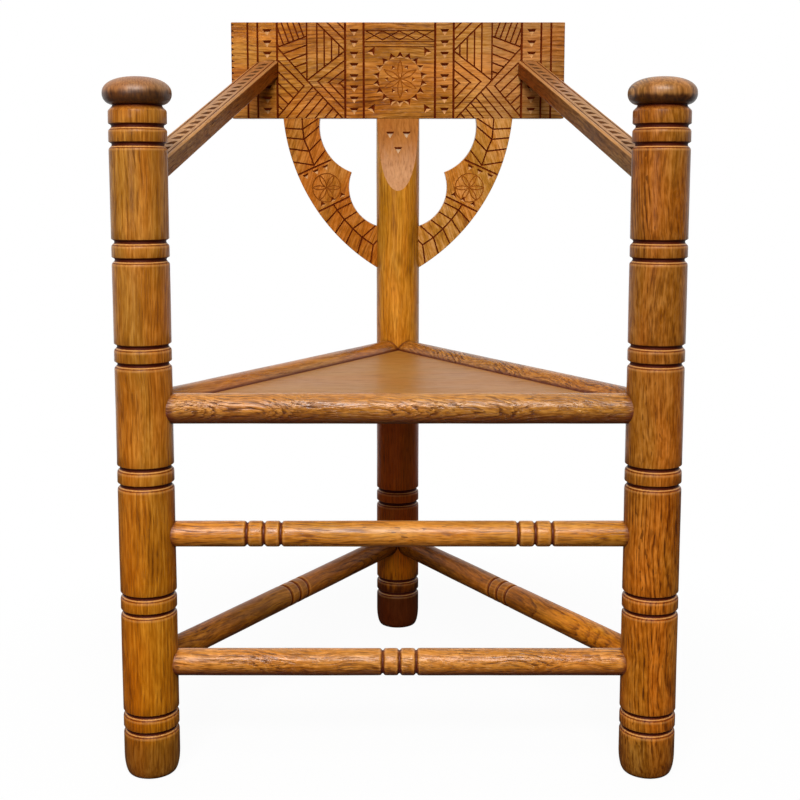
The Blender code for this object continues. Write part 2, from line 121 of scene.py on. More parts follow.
# Bars: dark joints, painted shade along a seat seam and on the underside, and the places of grooves
JOINT_STAIN = 0.80
JOINT_REACH = 0.0030
MITRE_REACH = 0.0060
SEAM_SHADE_SPAN = 0.20
SEAM_SHADE = 0.95
UNDER_SHADE_LEAN = 0.60
GROOVE_PITCH = 0.0188
UPPER_GROOVE_SPREAD = 0.1500

# Knobs
KNOB_UNDERCUT = 0.0116
KNOB_SEAT_RADIUS = 0.0255
KNOB_SHAPE = 2.3
KNOB_STEPS = 20
KNOB_TRIM = 0.0010
KNOB_SEEDS = (11, 12)

# Seat panel, with painted shade on its eased edge and along the seam by the rails
PANEL_CORNER_GAP = 0.0020
PANEL_EDGE = 0.0006
PANEL_EDGE_SHADE = 1.3
PANEL_SEAM = 0.0060
RIGHT_SEAM_SHARE = 0.90

# Crest board and its carving: across from the middle, up from the lower edge
CREST_BEVEL = 0.0012
CREST_SHIFT = 0.0020
LINE_HALF_WIDTH = 0.0011
LINE_DEPTH = 0.0014
BORDER_HALF_WIDTH = 0.0016
BORDER_DEPTH = 0.0018
END_HALF_WIDTH = 0.0014
END_LINES = (0.2165, 0.2023)
PANEL_OUTER = 0.1745
PANEL_INNER = 0.0775
CENTRE_EDGE = 0.0510
CHIP_COLUMNS = (0.1886, 0.0647)
CHIP_COUNT = 8
CHIP_TOP = 0.1258
CHIP_PITCH = 0.0158
CHIP_WIDTH = 0.0130
CHIP_LENGTH = 0.0094
CHIP_DEPTH = 0.0032
CHIP_HEEL = 0.38
CHIP_FLOOR = 0.80
NICK_COUNT = 16
NICK_SIZE = 0.0028

# Pinwheel of hatched fields in each side panel
HUB = Vector((0.1322, 0.0536))
SPOKE_BAND = 0.0146
BROW = 0.1184
EAST_RISE = 0.0952
MIDDLE_RISE = 0.0482
SOUTH = 0.0812
WEST_RISE = 0.1000
SHOULDER_RISE = 0.1155
FORK = Vector((0.1365, 0.0460))
CHEEK_RISE = 0.0826
CORNER_RISE = 0.0019
HATCH_PITCH = 0.0104
WIDE_PITCH = 0.0115
CLOSE_PITCH = 0.0078

# Middle field: lattice band and medallion
LATTICE_LINES = (0.1234, 0.1079, 0.1009)
LATTICE_HEIGHTS = (0.1229, 0.1105)
LATTICE_PITCH = 0.0239
LATTICE_REACH = 2
LATTICE_CUT = (0.00077, 0.00112)
MEDALLION = Vector((0.0010, 0.0553))
NOTCH_COUNT = 18
NOTCH_RADIUS = 0.0335
NOTCH_SIZE = (0.0106, 0.0088, 0.00288)
PETAL_COUNT = 6
PETAL_LENGTH = 0.0262
PETAL_HALF_WIDTH = 0.0033
PETAL_STEPS = 6
SEED_RADIUS = 0.0190
SEED_SIZE = (0.0065, 0.0050, 0.0016)
CORNER_CHIPS = ((0.0390, 0.0940), (0.0390, 0.0140))
CORNER_CHIP_SIZE = (0.0118, 0.0118, 0.0032)
CORNER_CHIP_TURN = radians(30)

# Brackets: across from the rear post's axis, and down from the crest board
BRACKET_TOP_OUTER = 0.1645
BRACKET_TOP_INNER = 0.1122
BRACKET_HEEL_DROP = 0.2140
BRACKET_THROAT_DROP = 0.1540
BRACKET_CUSP = Vector((0.0668, -0.0766))
BRACKET_OUTER_BULGE = 0.0297
BRACKET_UPPER_BULGE = 0.0162
BRACKET_LOWER_BULGE = 0.0183
BRACKET_BEVEL = 0.0008
BRACKET_SINK = 0.0040
FIELD_LINES = (((0.1433, -0.0799), (0.0976, -0.0594)), ((0.1138, -0.1327), (0.0688, -0.1111)))
FIELD_HALF_WIDTH = 0.00132
UPPER_SPINE = ((0.1376, -0.0007), (0.1368, -0.0153), (0.1352, -0.0297), (0.1278, -0.0467), (0.1212, -0.0667))
UPPER_ANGLES = ((3, 9), (146, 128))
LOWER_SPINE = (
    (0.0925, -0.1242), (0.0880, -0.1310), (0.0777, -0.1447),
    (0.0654, -0.1580), (0.0518, -0.1705), (0.0359, -0.1813),
)
LOWER_ANGLES = ((-48, -82), (153, 134))
ROUNDEL = Vector((0.1030, -0.0990))
ROUNDEL_RADIUS = 0.0205
ROUNDEL_STEPS = 24
FAINT_HALF_WIDTH = 0.0008
FAINT_DEPTH = 0.0006
FIELD_CHIPS = (0.18, 0.50, 0.80)
FIELD_CHIP_INSETS = (0.0036, 0.0068)
FIELD_GOUGE = (0.00962, 0.0074, 0.00224)
FIELD_PIT = (0.00888, 0.0074, 0.00256)

# Facet of the rear post under the crest board
FACET_LENGTH = 0.1032
FACET_SCOOP = 0.0028
FACET_STEPS = 14
FACET_CHIPS = ((-0.0113, 0.0188), (0.0123, 0.0188), (0.0004, 0.0408))
FACET_CHIP_SIZE = (0.01196, 0.0094, 0.002944)
FACET_CHIP_HEEL = 0.26
NOTCH_PAST = 0.02

# Arms
ARM_WIDTH = 0.0307
ARM_HEIGHT = 0.0228
ARM_BEVEL = 0.0018
ARM_FRONT_DROP = 0.0804
ARM_REAR_RISE = 0.0685
ARM_REAR_INSET = 0.0505
ARM_LINE_INSET = 0.0046
ARM_LINE_HALF_WIDTH = 0.0011
ARM_LINE_DEPTH = 0.0014
ARM_LINE_STAIN = 0.90
ARM_NICK_PITCH = 0.0216
ARM_NICK_COUNT = 22
ARM_NICK_START = 0.0400
ARM_NICK_DEPTH = 0.0030
ARM_NICK = ((-0.0054, -0.0060), (-0.0052, 0.0056), (0.0080, 0.0064), (0.0056, -0.0006))
ARM_NICK_DEEPEST = (0.0012, 0.0020)
ARM_EDGE = 0.0012
ARM_EDGE_RUB_AND_SHEEN = -0.60
ARM_TOP_RUB_AND_LIGHT = -0.36

# Cutters stand this far above the surface that they cut
LIFT = 0.0012
LIFT_STEP = 0.000003
# Pit walls turned towards the shade direction past this limit are dark painted shade, the others pale
# painted light
SHADE_LIMIT = -0.3

# Photograph's camera
CAMERA_PLACE = Vector((-0.0078, -1.6190, 0.6639))
CAMERA_PITCH = radians(6.96)
FOCAL_PIXELS = 1275.67
FRAME_PIXELS = 800
PRINCIPAL = (392.5, 336.0)
SENSOR = 36.0

# Stage and light
FLOOR_REACH = 6.0
FLOOR_GAP = 0.0005
FLOOR_DULL = (0.10, 0.095, 0.09, 1)
FLOOR_PALE = (0.90, 0.90, 0.90, 1)
WHITE = (1, 1, 1, 1)
SHADOW_SHARE = 0.05
SHADOW_FADE = (0.35, 0.75)
ROOM_TINT = (1.0, 0.98, 0.95, 1)
ROOM_LIGHT = 0.06
BACKDROP_LIGHT = 0.70
BACKDROP_SPAN = (-0.15, 0.75)
BACKDROP_FLOOR = (0.6, 1.6)
LAMPS = {
    "key": (Vector((-0.15, -3.30, 2.75)), (2.4, 0.9), 117),
    "overhead": (Vector((-0.25, -1.75, 2.45)), (1.6, 1.6), 29),
    "fill": (Vector((-1.10, -2.60, 0.95)), (0.7, 0.7), 9),
}
LAMP_TINT = (1.0, 0.98, 0.95)
LAMP_TARGET = Vector((0, 0, 0.5))

# Oak tones: dark, middle and light linear colours, the varnish's roughness and its shine. Pairs are left
# and right.
POST_TONES = (
    ((0.116, 0.031, 0.0020), (0.345, 0.118, 0.0100), (0.61, 0.262, 0.0460), 0.29, 0.14),
    ((0.088, 0.018, 0.0010), (0.275, 0.085, 0.0062), (0.47, 0.178, 0.0310), 0.29, 0.13),
)
REAR_TONE = ((0.160, 0.043, 0.0024), (0.47, 0.167, 0.0082), (0.74, 0.318, 0.0370), 0.29, 0.14)
RAIL_TONE = ((0.100, 0.025, 0.0024), (0.37, 0.130, 0.0120), (0.60, 0.254, 0.0440), 0.27, 0.42)
UPPER_TONE = ((0.165, 0.042, 0.0026), (0.50, 0.181, 0.0125), (0.73, 0.320, 0.0560), 0.27, 0.36)
LOWER_TONE = ((0.155, 0.039, 0.0028), (0.51, 0.174, 0.0150), (0.78, 0.322, 0.0600), 0.27, 0.35)
LEFT_SIDE_TONE = ((0.064, 0.015, 0.0006), (0.285, 0.084, 0.0032), (0.53, 0.175, 0.0120), 0.34, 0.11)
RIGHT_SIDE_TONE = ((0.072, 0.016, 0.0006), (0.310, 0.090, 0.0030), (0.56, 0.184, 0.0120), 0.34, 0.11)
SEAT_TONE = ((0.275, 0.100, 0.0125), (0.415, 0.169, 0.0260), (0.52, 0.232, 0.0420), 0.42, 0.23)
CREST_RIGHT_TONE = ((0.078, 0.018, 0.0014), (0.300, 0.104, 0.0125), (0.54, 0.238, 0.0720), 0.28, 0.12)
BRACKET_TONES = (
    ((0.135, 0.032, 0.0014), (0.400, 0.124, 0.0080), (0.64, 0.246, 0.0500), 0.28, 0.12),
    ((0.145, 0.039, 0.0030), (0.470, 0.180, 0.0200), (0.73, 0.352, 0.1200), 0.28, 0.12),
)
# Darker rear part of the arms, partly painted shade
ARM_REAR_TONE = ((0.062, 0.0100, 0.0006), (0.188, 0.037, 0.0016), (0.31, 0.072, 0.0060), 0.38, 0.11)
KNOB_TONES = (
    ((0.080, 0.024, 0.0050), (0.225, 0.088, 0.0230), (0.40, 0.186, 0.0660), 0.41, 0.58),
    ((0.040, 0.011, 0.0010), (0.230, 0.091, 0.0150), (0.60, 0.285, 0.0880), 0.38, 0.42),
)
FACET_TONE = ((0.138, 0.036, 0.0036), (0.35, 0.112, 0.0120), (0.50, 0.182, 0.0310), 0.34, 0.04)
PEG_TONE = ((0.150, 0.060, 0.0150), (0.30, 0.135, 0.0400), (0.42, 0.210, 0.0750), 0.55, 0.30)
# Pale cut oak of chip and pit floors, partly fresh-cut wood and partly painted light; palest on the facet
CUT_TONE = ((0.380, 0.150, 0.0400), (0.66, 0.310, 0.1000), (0.84, 0.460, 0.1900), 0.45, 0.26)
FACET_CUT_TONE = ((0.600, 0.340, 0.1600), (0.80, 0.520, 0.2900), (0.92, 0.680, 0.4400), 0.45, 0.26)

# Tones that a piece turns into along its length, and the spans in which it does. Most of them are
# painted light and shade, as said beside each.
# Front posts: a redder tone towards the floor and a darker foot, partly the wood's tone and partly painted
# shade
FOOT_TONES = (
    ((0.130, 0.029, 0.0008), (0.445, 0.128, 0.0024), (0.73, 0.268, 0.0160)),
    ((0.118, 0.024, 0.0010), (0.42, 0.116, 0.0048), (0.69, 0.236, 0.0260)),
)
FOOT_FADE = (0.10, 0.56)
FOOT_DARK_TONE = ((0.078, 0.021, 0.0010), (0.285, 0.094, 0.0046), (0.52, 0.212, 0.0300))
FOOT_DARK = (0.034, 0.060)
# Rear post, front only: painted shadow of the seat, a painted pool of light lower down, and the painted
# shadow of the upper stretcher on the foot
SEAT_SHADOW_TONE = ((0.165, 0.026, 0.0010), (0.43, 0.081, 0.0034), (0.57, 0.124, 0.0080))
SEAT_SHADOW_FADE = 0.05
LIGHT_PATCH_TONE = ((0.245, 0.050, 0.0010), (0.62, 0.148, 0.0024), (0.82, 0.228, 0.0060))
LIGHT_PATCH_FADE = (0.135, 0.175)
REAR_FOOT_SHADOW_TONE = ((0.030, 0.006, 0.0010), (0.098, 0.018, 0.0022), (0.150, 0.032, 0.0060))
REAR_FOOT_SHADOW = (0.056, 0.094)
SPAN_TURN = (0.002, 0.018)
# Lighter front half of the right side stretcher, partly painted light
SIDE_FRONT_TONE = ((0.112, 0.026, 0.0008), (0.49, 0.152, 0.0045), (0.80, 0.305, 0.0210))
SIDE_FADE = (0.17, 0.38)
# Crest board: its right end darker, partly painted shade, and its left end redder, as spans along X
CREST_TONE = ((0.112, 0.028, 0.0016), (0.385, 0.133, 0.0125), (0.66, 0.290, 0.0720))
CREST_RIGHT_END = (0.112, 0.142)
CREST_LEFT_TONE = ((0.115, 0.027, 0.0010), (0.385, 0.124, 0.0062), (0.67, 0.268, 0.0400))
CREST_LEFT_END = (-0.152, -0.126)
# Arms: lighter towards the front post; the darker rear tone is partly painted shade
ARM_TONES = (
    ((0.088, 0.029, 0.0062), (0.275, 0.107, 0.0205), (0.47, 0.216, 0.0540)),
    ((0.058, 0.021, 0.0055), (0.200, 0.092, 0.0230), (0.39, 0.206, 0.0660)),
)
ARM_FADE = (0.20, 0.44)
# Painted shade on each knob's underside, and the heights above its seat over which it fades, left and right
KNOB_UNDER_SHADE_TONE = ((0.016, 0.004, 0.0005), (0.046, 0.013, 0.0014), (0.150, 0.050, 0.0060))
KNOB_SHADE = ((0.0105, 0.0165), (0.0070, 0.0120))
# Painted sheen on the lower part of the rear post's facet, and the drops below the crest board over which it
# fades in
FACET_SHEEN_TONE = ((0.285, 0.110, 0.0320), (0.47, 0.197, 0.0680), (0.63, 0.300, 0.1220))
FACET_SHEEN_FADE = (0.074, 0.030)
RAGGED = 0.040

# Colours of staining, which in grooves, seams, pits and undersides is also painted shade, deeper painted
# shade, the dark brown of the arms' nicks, rubbed edges with painted highlights, grime with painted shade
# in corners, and pores, and the drift between reddish and olive oak
STAIN_AND_SHADE = (0.115, 0.0125, 0.0008, 1)
STAIN_AND_SHADE_LIGHT = (0.185, 0.0300, 0.0018, 1)
FAINT_DEEP = (0.225, 0.0560, 0.0032, 1)
FAINT = (0.320, 0.0920, 0.0070, 1)
SOOT = (0.080, 0.0270, 0.0075, 1)
DARK_BROWN_LIGHT = (0.150, 0.0580, 0.0190, 1)
DEEP_SHADE = (0.016, 0.0030, 0.0016, 1)
RUBBED_AND_SHEEN = (0.760, 0.365, 0.1150, 1)
GRIME_AND_SHADE = (0.055, 0.0090, 0.0010, 1)
PORE = (0.090, 0.0200, 0.0014, 1)
RED_TINT = (1.07, 0.95, 0.80, 1)
OLIVE_TINT = (0.95, 1.04, 1.08, 1)

# How lively a grain is: weights of broad streaks, fine fibres, short flecks, mottling and pores, how far
# the grain wanders across the piece, how short its strokes are, the relief that breaks up highlights, and
# how much its tint drifts
Style = namedtuple("Style", "streak fibre flecks mottle pores wander short relief tint", defaults=(1.0,))
TURNED = Style(0.55, 1.20, 0.60, 0.80, 0.50, 0.004, 1.0, 0.55)
LIVELY = Style(0.60, 1.75, 1.05, 0.75, 0.70, 0.016, 2.0, 1.50, 0.6)
BOARD = Style(1.05, 1.15, 0.45, 0.95, 0.60, 0.010, 1.7, 0.45)
QUIET = Style(0.45, 0.85, 0.30, 0.60, 0.35, 0.005, 0.8, 0.40, 0.35)
POLISHED = Style(0.70, 0.90, 0.40, 0.90, 0.40, 0.004, 1.0, 0.14)
MOTTLED = Style(0.60, 1.35, 0.85, 1.70, 0.60, 0.010, 1.4, 0.70)
STROKED = Style(0.60, 1.35, 0.95, 0.80, 0.85, 0.006, 1.5, 0.55)
CARVED = Style(0.55, 1.15, 0.75, 0.95, 0.50, 0.006, 2.0, 0.40)

# How a piece was cut from the tree: the turn that brings its grain to the texture's Z axis, a seed, the
# pith's place beside it, the strength of its growth rings and their spacing. Pairs are left and right.
RING_SPACING = 0.0050
POST_RINGS = 0.0044
KNOB_RINGS = 0.0029
Grain = namedtuple("Grain", "turn seed pith figure spacing", defaults=(1.0, RING_SPACING))
ALONG_Z = (0, 0, 0)
ALONG_X = (0, -pi / 2, 0)
BRACKET_TILT = radians(18)
POST_GRAINS = (
    Grain((radians(1.5), 0, 0), 1, (0.12, 0.10), 0.5, POST_RINGS),
    Grain((radians(3), 0, 0), 2, (0.10, -0.06), 1.0, POST_RINGS),
)
REAR_GRAIN = Grain((radians(1.5), 0, 0), 21, (0.060, 0.045), 0.6, POST_RINGS)
FACET_GRAIN = Grain(ALONG_Z, 21, (0.010, 0.045), 0.4)
KNOB_GRAINS = (
    Grain((0, radians(8), 0), 9, (0.20, 0.06), 0.4, KNOB_RINGS),
    Grain((0, radians(8), 0), 11, (0.20, 0.06), 2.4, KNOB_RINGS),
)
SEAT_GRAIN = Grain(ALONG_X, 12, (0.120, 0.030), 0.5)
CREST_GRAIN = Grain(ALONG_X, 15, (0.300, 0.060), 0.9, 0.0062)
BRACKET_GRAINS = (
    Grain((0, -BRACKET_TILT, 0), 17, (0.020, 0.090), 0.6),
    Grain((0, BRACKET_TILT, 0), 18, (0.020, 0.090), 0.6),
)
ARM_GRAINS = (Grain(ALONG_Z, 25, (0.04, 0.06), 0.7), Grain(ALONG_Z, 26, (0.04, 0.06), 0.7))
PEG_GRAIN = Grain(ALONG_Z, 40, (0.01, 0.01), 0.6)
BAR_PITH = (0.045, 0.010)
CUT_PITH = (0.09, 0.05)

# Styles of the front posts, and how strong the knocks and dents in the varnish are
POST_STYLES = (TURNED, STROKED)
POST_MARKS = (0.0, 0.7)
ARM_MARKS = 0.8

# Noise of the oak: stretch across and along the grain, detail and roughness
SWAY = (6, 2.2, 2, 0.5)
WAVER = (70, 10, 3, 0.6)
PRESENCE = (24, 8, 2, 0.5)
STREAK = (80, 5, 3, 0.6)
FIBRE = (430, 24, 3, 0.6)
FLECKS = (210, 60, 2, 0.5)
MOTTLE = (14, 7, 2, 0.5)
PORES = (640, 42, 1, 0.5)
WARMTH = (26, 6, 2, 0.5)
DENTS = (300, 75, 1, 0.5)
WAVE_STRETCH = (3, 3, 10)
SEED_STEP = 0.37

# Growth rings: how far they sway and waver, the early and late wood of one ring, where rings show
SWAY_REACH = 0.040
WAVER_REACH = 0.0080
EARLY_WOOD = (0.0, 0.42)
LATE_WOOD = (0.88, 1.0)
RINGS_SHOWN = (0.34, 0.62)
RING_SHADE = -0.38
MEAN_LEVEL = 0.62

# Pores, dents and the drift of tint in their noise, and the grime with painted shade in corners
PORE_SPAN = (0.54, 0.64)
PORE_SHARE = 0.45
PORE_RING_SHARE = 0.55
DENT_SPAN = (0.66, 0.71)
DENT_PATCH = (0.48, 0.62)
WARMTH_SPAN = (0.34, 0.66)
CORNER_REACH = 0.007
CORNER_SAMPLES = 6
CORNER_SPAN = (0.22, 0.90)
GRIME_AND_SHADE_SHARE = 0.75

# Varnish: swings of its roughness, its coat, and the relief of streaks, fibres, rings and pores
GLOSS_SWINGS = {"mottle": 0.20, "pore": 0.16, "stain_and_shade": 0.25}
COAT = {"Coat Weight": 0.04, "Coat Roughness": 0.24}
RELIEF = {"streak": 0.50, "fibre": 0.50, "ring": -0.25, "pore": -0.80}
RELIEF_DEPTH = 0.0006

# Walls of carved lines, dark with staining, and of pits and gouges, where their dark is painted shade
WALL_FIBRE = (420, 420, 40)
WALL_TINT = (60, 60, 20)
WALL_SWINGS = (1.4, 1.6)
WALL_SPAN = (0.1, 0.9)
WALL_ROUGHNESS = (0.58, 0.2)
WALL_SHINE = {"Specular IOR Level": 0.12}
WALL_RELIEF = (0.3, 0.0003)


def axis_of(node):
    """Middle of a post's footprint, from its box."""
    low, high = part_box(node)
    return Vector(((low.x + high.x) / 2, (low.y + high.y) / 2, 0))


POST_RADIUS = (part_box("front_left_post")[1].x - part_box("front_left_post")[0].x) / 2
FRONT_POST_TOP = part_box("front_left_post")[1].z
REAR_POST_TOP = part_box("rear_post")[1].z
POSTS = {name: axis_of(name) for name in ("front_left_post", "front_right_post", "rear_post")}
CREST_LOW, CREST_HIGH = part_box("crest_board")
CREST_FRONT = CREST_LOW.y
CREST_HEIGHT = CREST_HIGH.z - CREST_LOW.z
REAR_POST_FRONT = POSTS["rear_post"].y - POST_RADIUS
SEAT_BOTTOM, SEAT_TOP = (corner.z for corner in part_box("seat_panel"))
SEAT_MIDDLE = sum(POSTS.values(), Vector()) / len(POSTS)


class Wiring:
    """Adds shader nodes to a material or a world and links them."""

    def __init__(self, owner):
        owner.use_nodes = True
        self.owner = owner
        self.tree = owner.node_tree
        self.shader = self.tree.nodes.get("Principled BSDF")

    def feed(self, node, inputs):
        for key, value in inputs.items():
            if isinstance(value, bpy.types.NodeSocket):
                self.tree.links.new(value, node.inputs[key])
            else:
                node.inputs[key].default_value = value

    def node(self, kind, inputs, **settings):
        made = self.tree.nodes.new(kind)
        for key, value in settings.items():
            setattr(made, key, value)
        self.feed(made, inputs)
        return made

    def place(self, kind="Object"):
        return self.node("ShaderNodeTexCoord", {}).outputs[kind]

    def parts(self, vector):
        return self.node("ShaderNodeSeparateXYZ", {0: vector}).outputs

    def math(self, operation, first, second=0.0):
        return self.node("ShaderNodeMath", {0: first, 1: second}, operation=operation).outputs[0]

    def times(self, first, second):
        return self.math("MULTIPLY", first, second)

    def rest(self, value):
        """What is missing to 1."""
        return self.math("SUBTRACT", 1.0, value)

    def spread(self, value, amount):
        """A 0 to 1 value as a swing about zero."""
        return self.times(self.math("SUBTRACT", value, 0.5), amount)

    def total(self, *values):
        result = values[0]
        for value in values[1:]:
            result = self.math("ADD", result, value)
        return result

    def vector(self, operation, first, second):
        inputs = {0: first, 1: second}
        return self.node("ShaderNodeVectorMath", inputs, operation=operation).outputs

    def length(self, vector):
        return self.vector("LENGTH", vector, (0, 0, 0))["Value"]

    def noise(self, place, stretch, detail=2.0, roughness=0.5, output="Fac"):
        scaled = self.vector("MULTIPLY", place, stretch)[0]
        inputs = {"Vector": scaled, "Scale": 1.0, "Detail": detail, "Roughness": roughness}
        return self.node("ShaderNodeTexNoise", inputs).outputs[output]

    def window(self, value, low, high):
        """0 below low, 1 above high and smooth between."""
        inputs = {"Value": value, "From Min": low, "From Max": high}
        return self.node("ShaderNodeMapRange", inputs, interpolation_type="SMOOTHSTEP").outputs[0]

    def mix(self, amount, first, second, blend="MIX"):
        inputs = {0: amount, 6: first, 7: second}
        return self.node("ShaderNodeMix", inputs, data_type="RGBA", blend_type=blend).outputs[2]

    def mix_shaders(self, amount, first, second):
        return self.node("ShaderNodeMixShader", {0: amount, 1: first, 2: second}).outputs[0]

    def ramp(self, value, colours):
        made = self.node("ShaderNodeValToRGB", {"Fac": value})
        stops = made.color_ramp.elements
        stops.new(0.5)
        for stop, colour in zip(stops, colours):
            stop.color = (*colour, 1)
        return made.outputs["Color"]

    def dress(self, colour, roughness, relief, strength, depth, constants):
        """Feed the shader, with a bump from relief, and return the finished material."""
        bump = self.node("ShaderNodeBump", {"Strength": strength, "Distance": depth, "Height": relief})
        inputs = {"Base Color": colour, "Roughness": roughness, "Normal": bump.outputs[0], **constants}
        self.feed(self.shader, inputs)
        return self.owner


def oak(name, tone, grain, style, marks=0.0, tone_and_light_spans=(), spans_on_back=True, span_axis="Z"):
    """Varnished oak: growth rings about a pith beside the piece, streaks, fibres and pores along the
    grain, staining, painted shade and painted highlights where the mesh asks for them, and grime and
    painted shade in corners. tone_and_light_spans holds (tone, low, high) spans of span_axis: below each,
    the surface turns into that tone, on the back too where spans_on_back is set. Several of these tones
    are painted shade, shadow, light and sheen."""
    *colours, roughness, shine = tone
    wiring = Wiring(bpy.data.materials.new(name))
    place = wiring.place()
    turned = {"Vector": place, "Location": (*grain.pith, SEED_STEP * grain.seed), "Rotation": grain.turn}
    straight = wiring.node("ShaderNodeMapping", turned).outputs[0]
    wave = wiring.noise(straight, WAVE_STRETCH, 1.0, output="Color")
    wave = wiring.vector("SUBTRACT", wave, (0.5, 0.5, 0.5))[0]
    reach = 2 * style.wander
    spot = wiring.vector("ADD", straight, wiring.vector("MULTIPLY", wave, (reach, reach, 0))[0])[0]

    def field(layer, short=1.0):
        across, along, detail, rough = layer
        return wiring.noise(spot, (across, across, along * short), detail, rough)

    sway = wiring.spread(field(SWAY), SWAY_REACH)
    waver = wiring.spread(field(WAVER), WAVER_REACH)
    from_pith = wiring.length(wiring.vector("MULTIPLY", spot, (1, 1, 0))[0])
    distance = wiring.total(from_pith, sway, waver)
    phase = wiring.math("FRACT", wiring.math("DIVIDE", distance, grain.spacing))
    early = wiring.rest(wiring.window(phase, *EARLY_WOOD))
    late = wiring.window(phase, *LATE_WOOD)
    ring = wiring.times(wiring.math("MAXIMUM", early, late), wiring.window(field(PRESENCE), *RINGS_SHOWN))

    streak, fibre, flecks = (field(layer, style.short) for layer in (STREAK, FIBRE, FLECKS))
    mottle = field(MOTTLE)
    pore_density = wiring.total(PORE_SHARE, wiring.times(ring, PORE_RING_SHARE))
    pore = wiring.times(wiring.window(field(PORES), *PORE_SPAN), pore_density)
    level = wiring.total(
        MEAN_LEVEL,
        wiring.spread(streak, style.streak),
        wiring.spread(fibre, style.fibre),
        wiring.spread(flecks, style.flecks),
        wiring.spread(mottle, style.mottle),
        wiring.times(ring, RING_SHADE * grain.figure),
    )
    colour = wiring.ramp(level, colours)
    parts = wiring.parts(place)
    # Where spans_on_back is off, the tone spans, painted light and shade among them, fade out towards the
    # back
    front = 1.0 if spans_on_back else wiring.rest(wiring.window(parts["Y"], *SPAN_TURN))
    for span_tone, low, high in tone_and_light_spans:
        ragged = min(RAGGED, high - low)
        edge = wiring.total(parts[span_axis], wiring.spread(flecks, ragged), wiring.spread(streak, ragged))
        share = wiring.times(wiring.rest(wiring.window(edge, low, high)), front)
        colour = wiring.mix(share, colour, wiring.ramp(level, span_tone))
    warmth = wiring.window(field(WARMTH), *WARMTH_SPAN)
    colour = wiring.mix(style.tint, colour, wiring.mix(warmth, RED_TINT, OLIVE_TINT), "MULTIPLY")
    colour = wiring.mix(wiring.times(pore, style.pores), colour, PORE)
    if marks:
        dent = wiring.times(wiring.window(field(DENTS), *DENT_SPAN), wiring.window(mottle, *DENT_PATCH))
        colour = wiring.mix(wiring.times(dent, marks), colour, PORE)
    # stain_and_shade: staining and dark joints, painted shade in grooves, seams, the knob's neck and
    # undersides, deeper painted shade above 1, and below 0 rubbed paler with painted highlights and glints
    stain_and_shade = wiring.node("ShaderNodeAttribute", {}, attribute_name="stain_and_shade").outputs["Fac"]
    colour = wiring.mix(stain_and_shade, colour, STAIN_AND_SHADE)
    colour = wiring.mix(wiring.math("SUBTRACT", stain_and_shade, 1.0), colour, DEEP_SHADE)
    colour = wiring.mix(wiring.times(stain_and_shade, -1.0), colour, RUBBED_AND_SHEEN)
    # Grime and painted shade in corners and recesses, darker where the surface is closed in
    corner = {"Distance": CORNER_REACH}
    clear = wiring.node("ShaderNodeAmbientOcclusion", corner, samples=CORNER_SAMPLES).outputs["AO"]
    darkening = wiring.rest(wiring.window(clear, *CORNER_SPAN))
    colour = wiring.mix(wiring.times(darkening, GRIME_AND_SHADE_SHARE), colour, GRIME_AND_SHADE)
    gloss = wiring.total(
        roughness,
        wiring.spread(mottle, GLOSS_SWINGS["mottle"]),
        wiring.times(pore, GLOSS_SWINGS["pore"]),
        wiring.times(wiring.math("MAXIMUM", stain_and_shade, 0.0), GLOSS_SWINGS["stain_and_shade"]),
    )
    relief = wiring.total(
        wiring.spread(streak, RELIEF["streak"]),
        wiring.spread(fibre, RELIEF["fibre"]),
        wiring.times(ring, RELIEF["ring"]),
        wiring.times(pore, RELIEF["pore"]),
    )
    constants = {"Specular IOR Level": shine, **COAT}
    return wiring.dress(colour, gloss, relief, style.relief, RELIEF_DEPTH, constants)


def wall_finish(name, turn, deep, light):
    """The knife-cut walls of carved lines, dark with staining; on pits and gouges the same dark walls are
    painted shade.
    """
    wiring = Wiring(bpy.data.materials.new(name))
    turned = {"Vector": wiring.place(), "Rotation": turn}
    spot = wiring.node("ShaderNodeMapping", turned).outputs[0]
    fibre, tint = wiring.noise(spot, WALL_FIBRE, 3), wiring.noise(spot, WALL_TINT)
    swings = [wiring.spread(value, swing) for value, swing in zip((fibre, tint), WALL_SWINGS)]
    colour = wiring.mix(wiring.window(wiring.total(*swings, 0.5), *WALL_SPAN), deep, light)
    roughness, swing = WALL_ROUGHNESS
    rough = wiring.total(roughness, wiring.spread(fibre, swing))
    return wiring.dress(colour, rough, fibre, *WALL_RELIEF, WALL_SHINE)


def cut_finishes(name, grain, cut_tone=CUT_TONE):
    """Finishes of carved faces, in the order of the Carving's finishes."""
    return (
        wall_finish(name + "_stain", grain.turn, STAIN_AND_SHADE, STAIN_AND_SHADE_LIGHT),
        oak(name + "_cut_oak", cut_tone, Grain(grain.turn, grain.seed, CUT_PITH), QUIET),
        wall_finish(name + "_incised", grain.turn, FAINT_DEEP, FAINT),
        wall_finish(name + "_dark_brown", grain.turn, SOOT, DARK_BROWN_LIGHT),
    )


def new_object(name, data):
    made = bpy.data.objects.new(name, data)
    bpy.context.scene.collection.objects.link(made)
    return made


def body_object(name, shape, materials):
    """Turn a closed bmesh into an object."""
    bmesh.ops.recalc_face_normals(shape, faces=shape.faces[:])
    mesh = bpy.data.meshes.new(name)
    shape.to_mesh(mesh)
    shape.free()
    for material in materials:
        mesh.materials.append(material)
    return new_object(name, mesh)


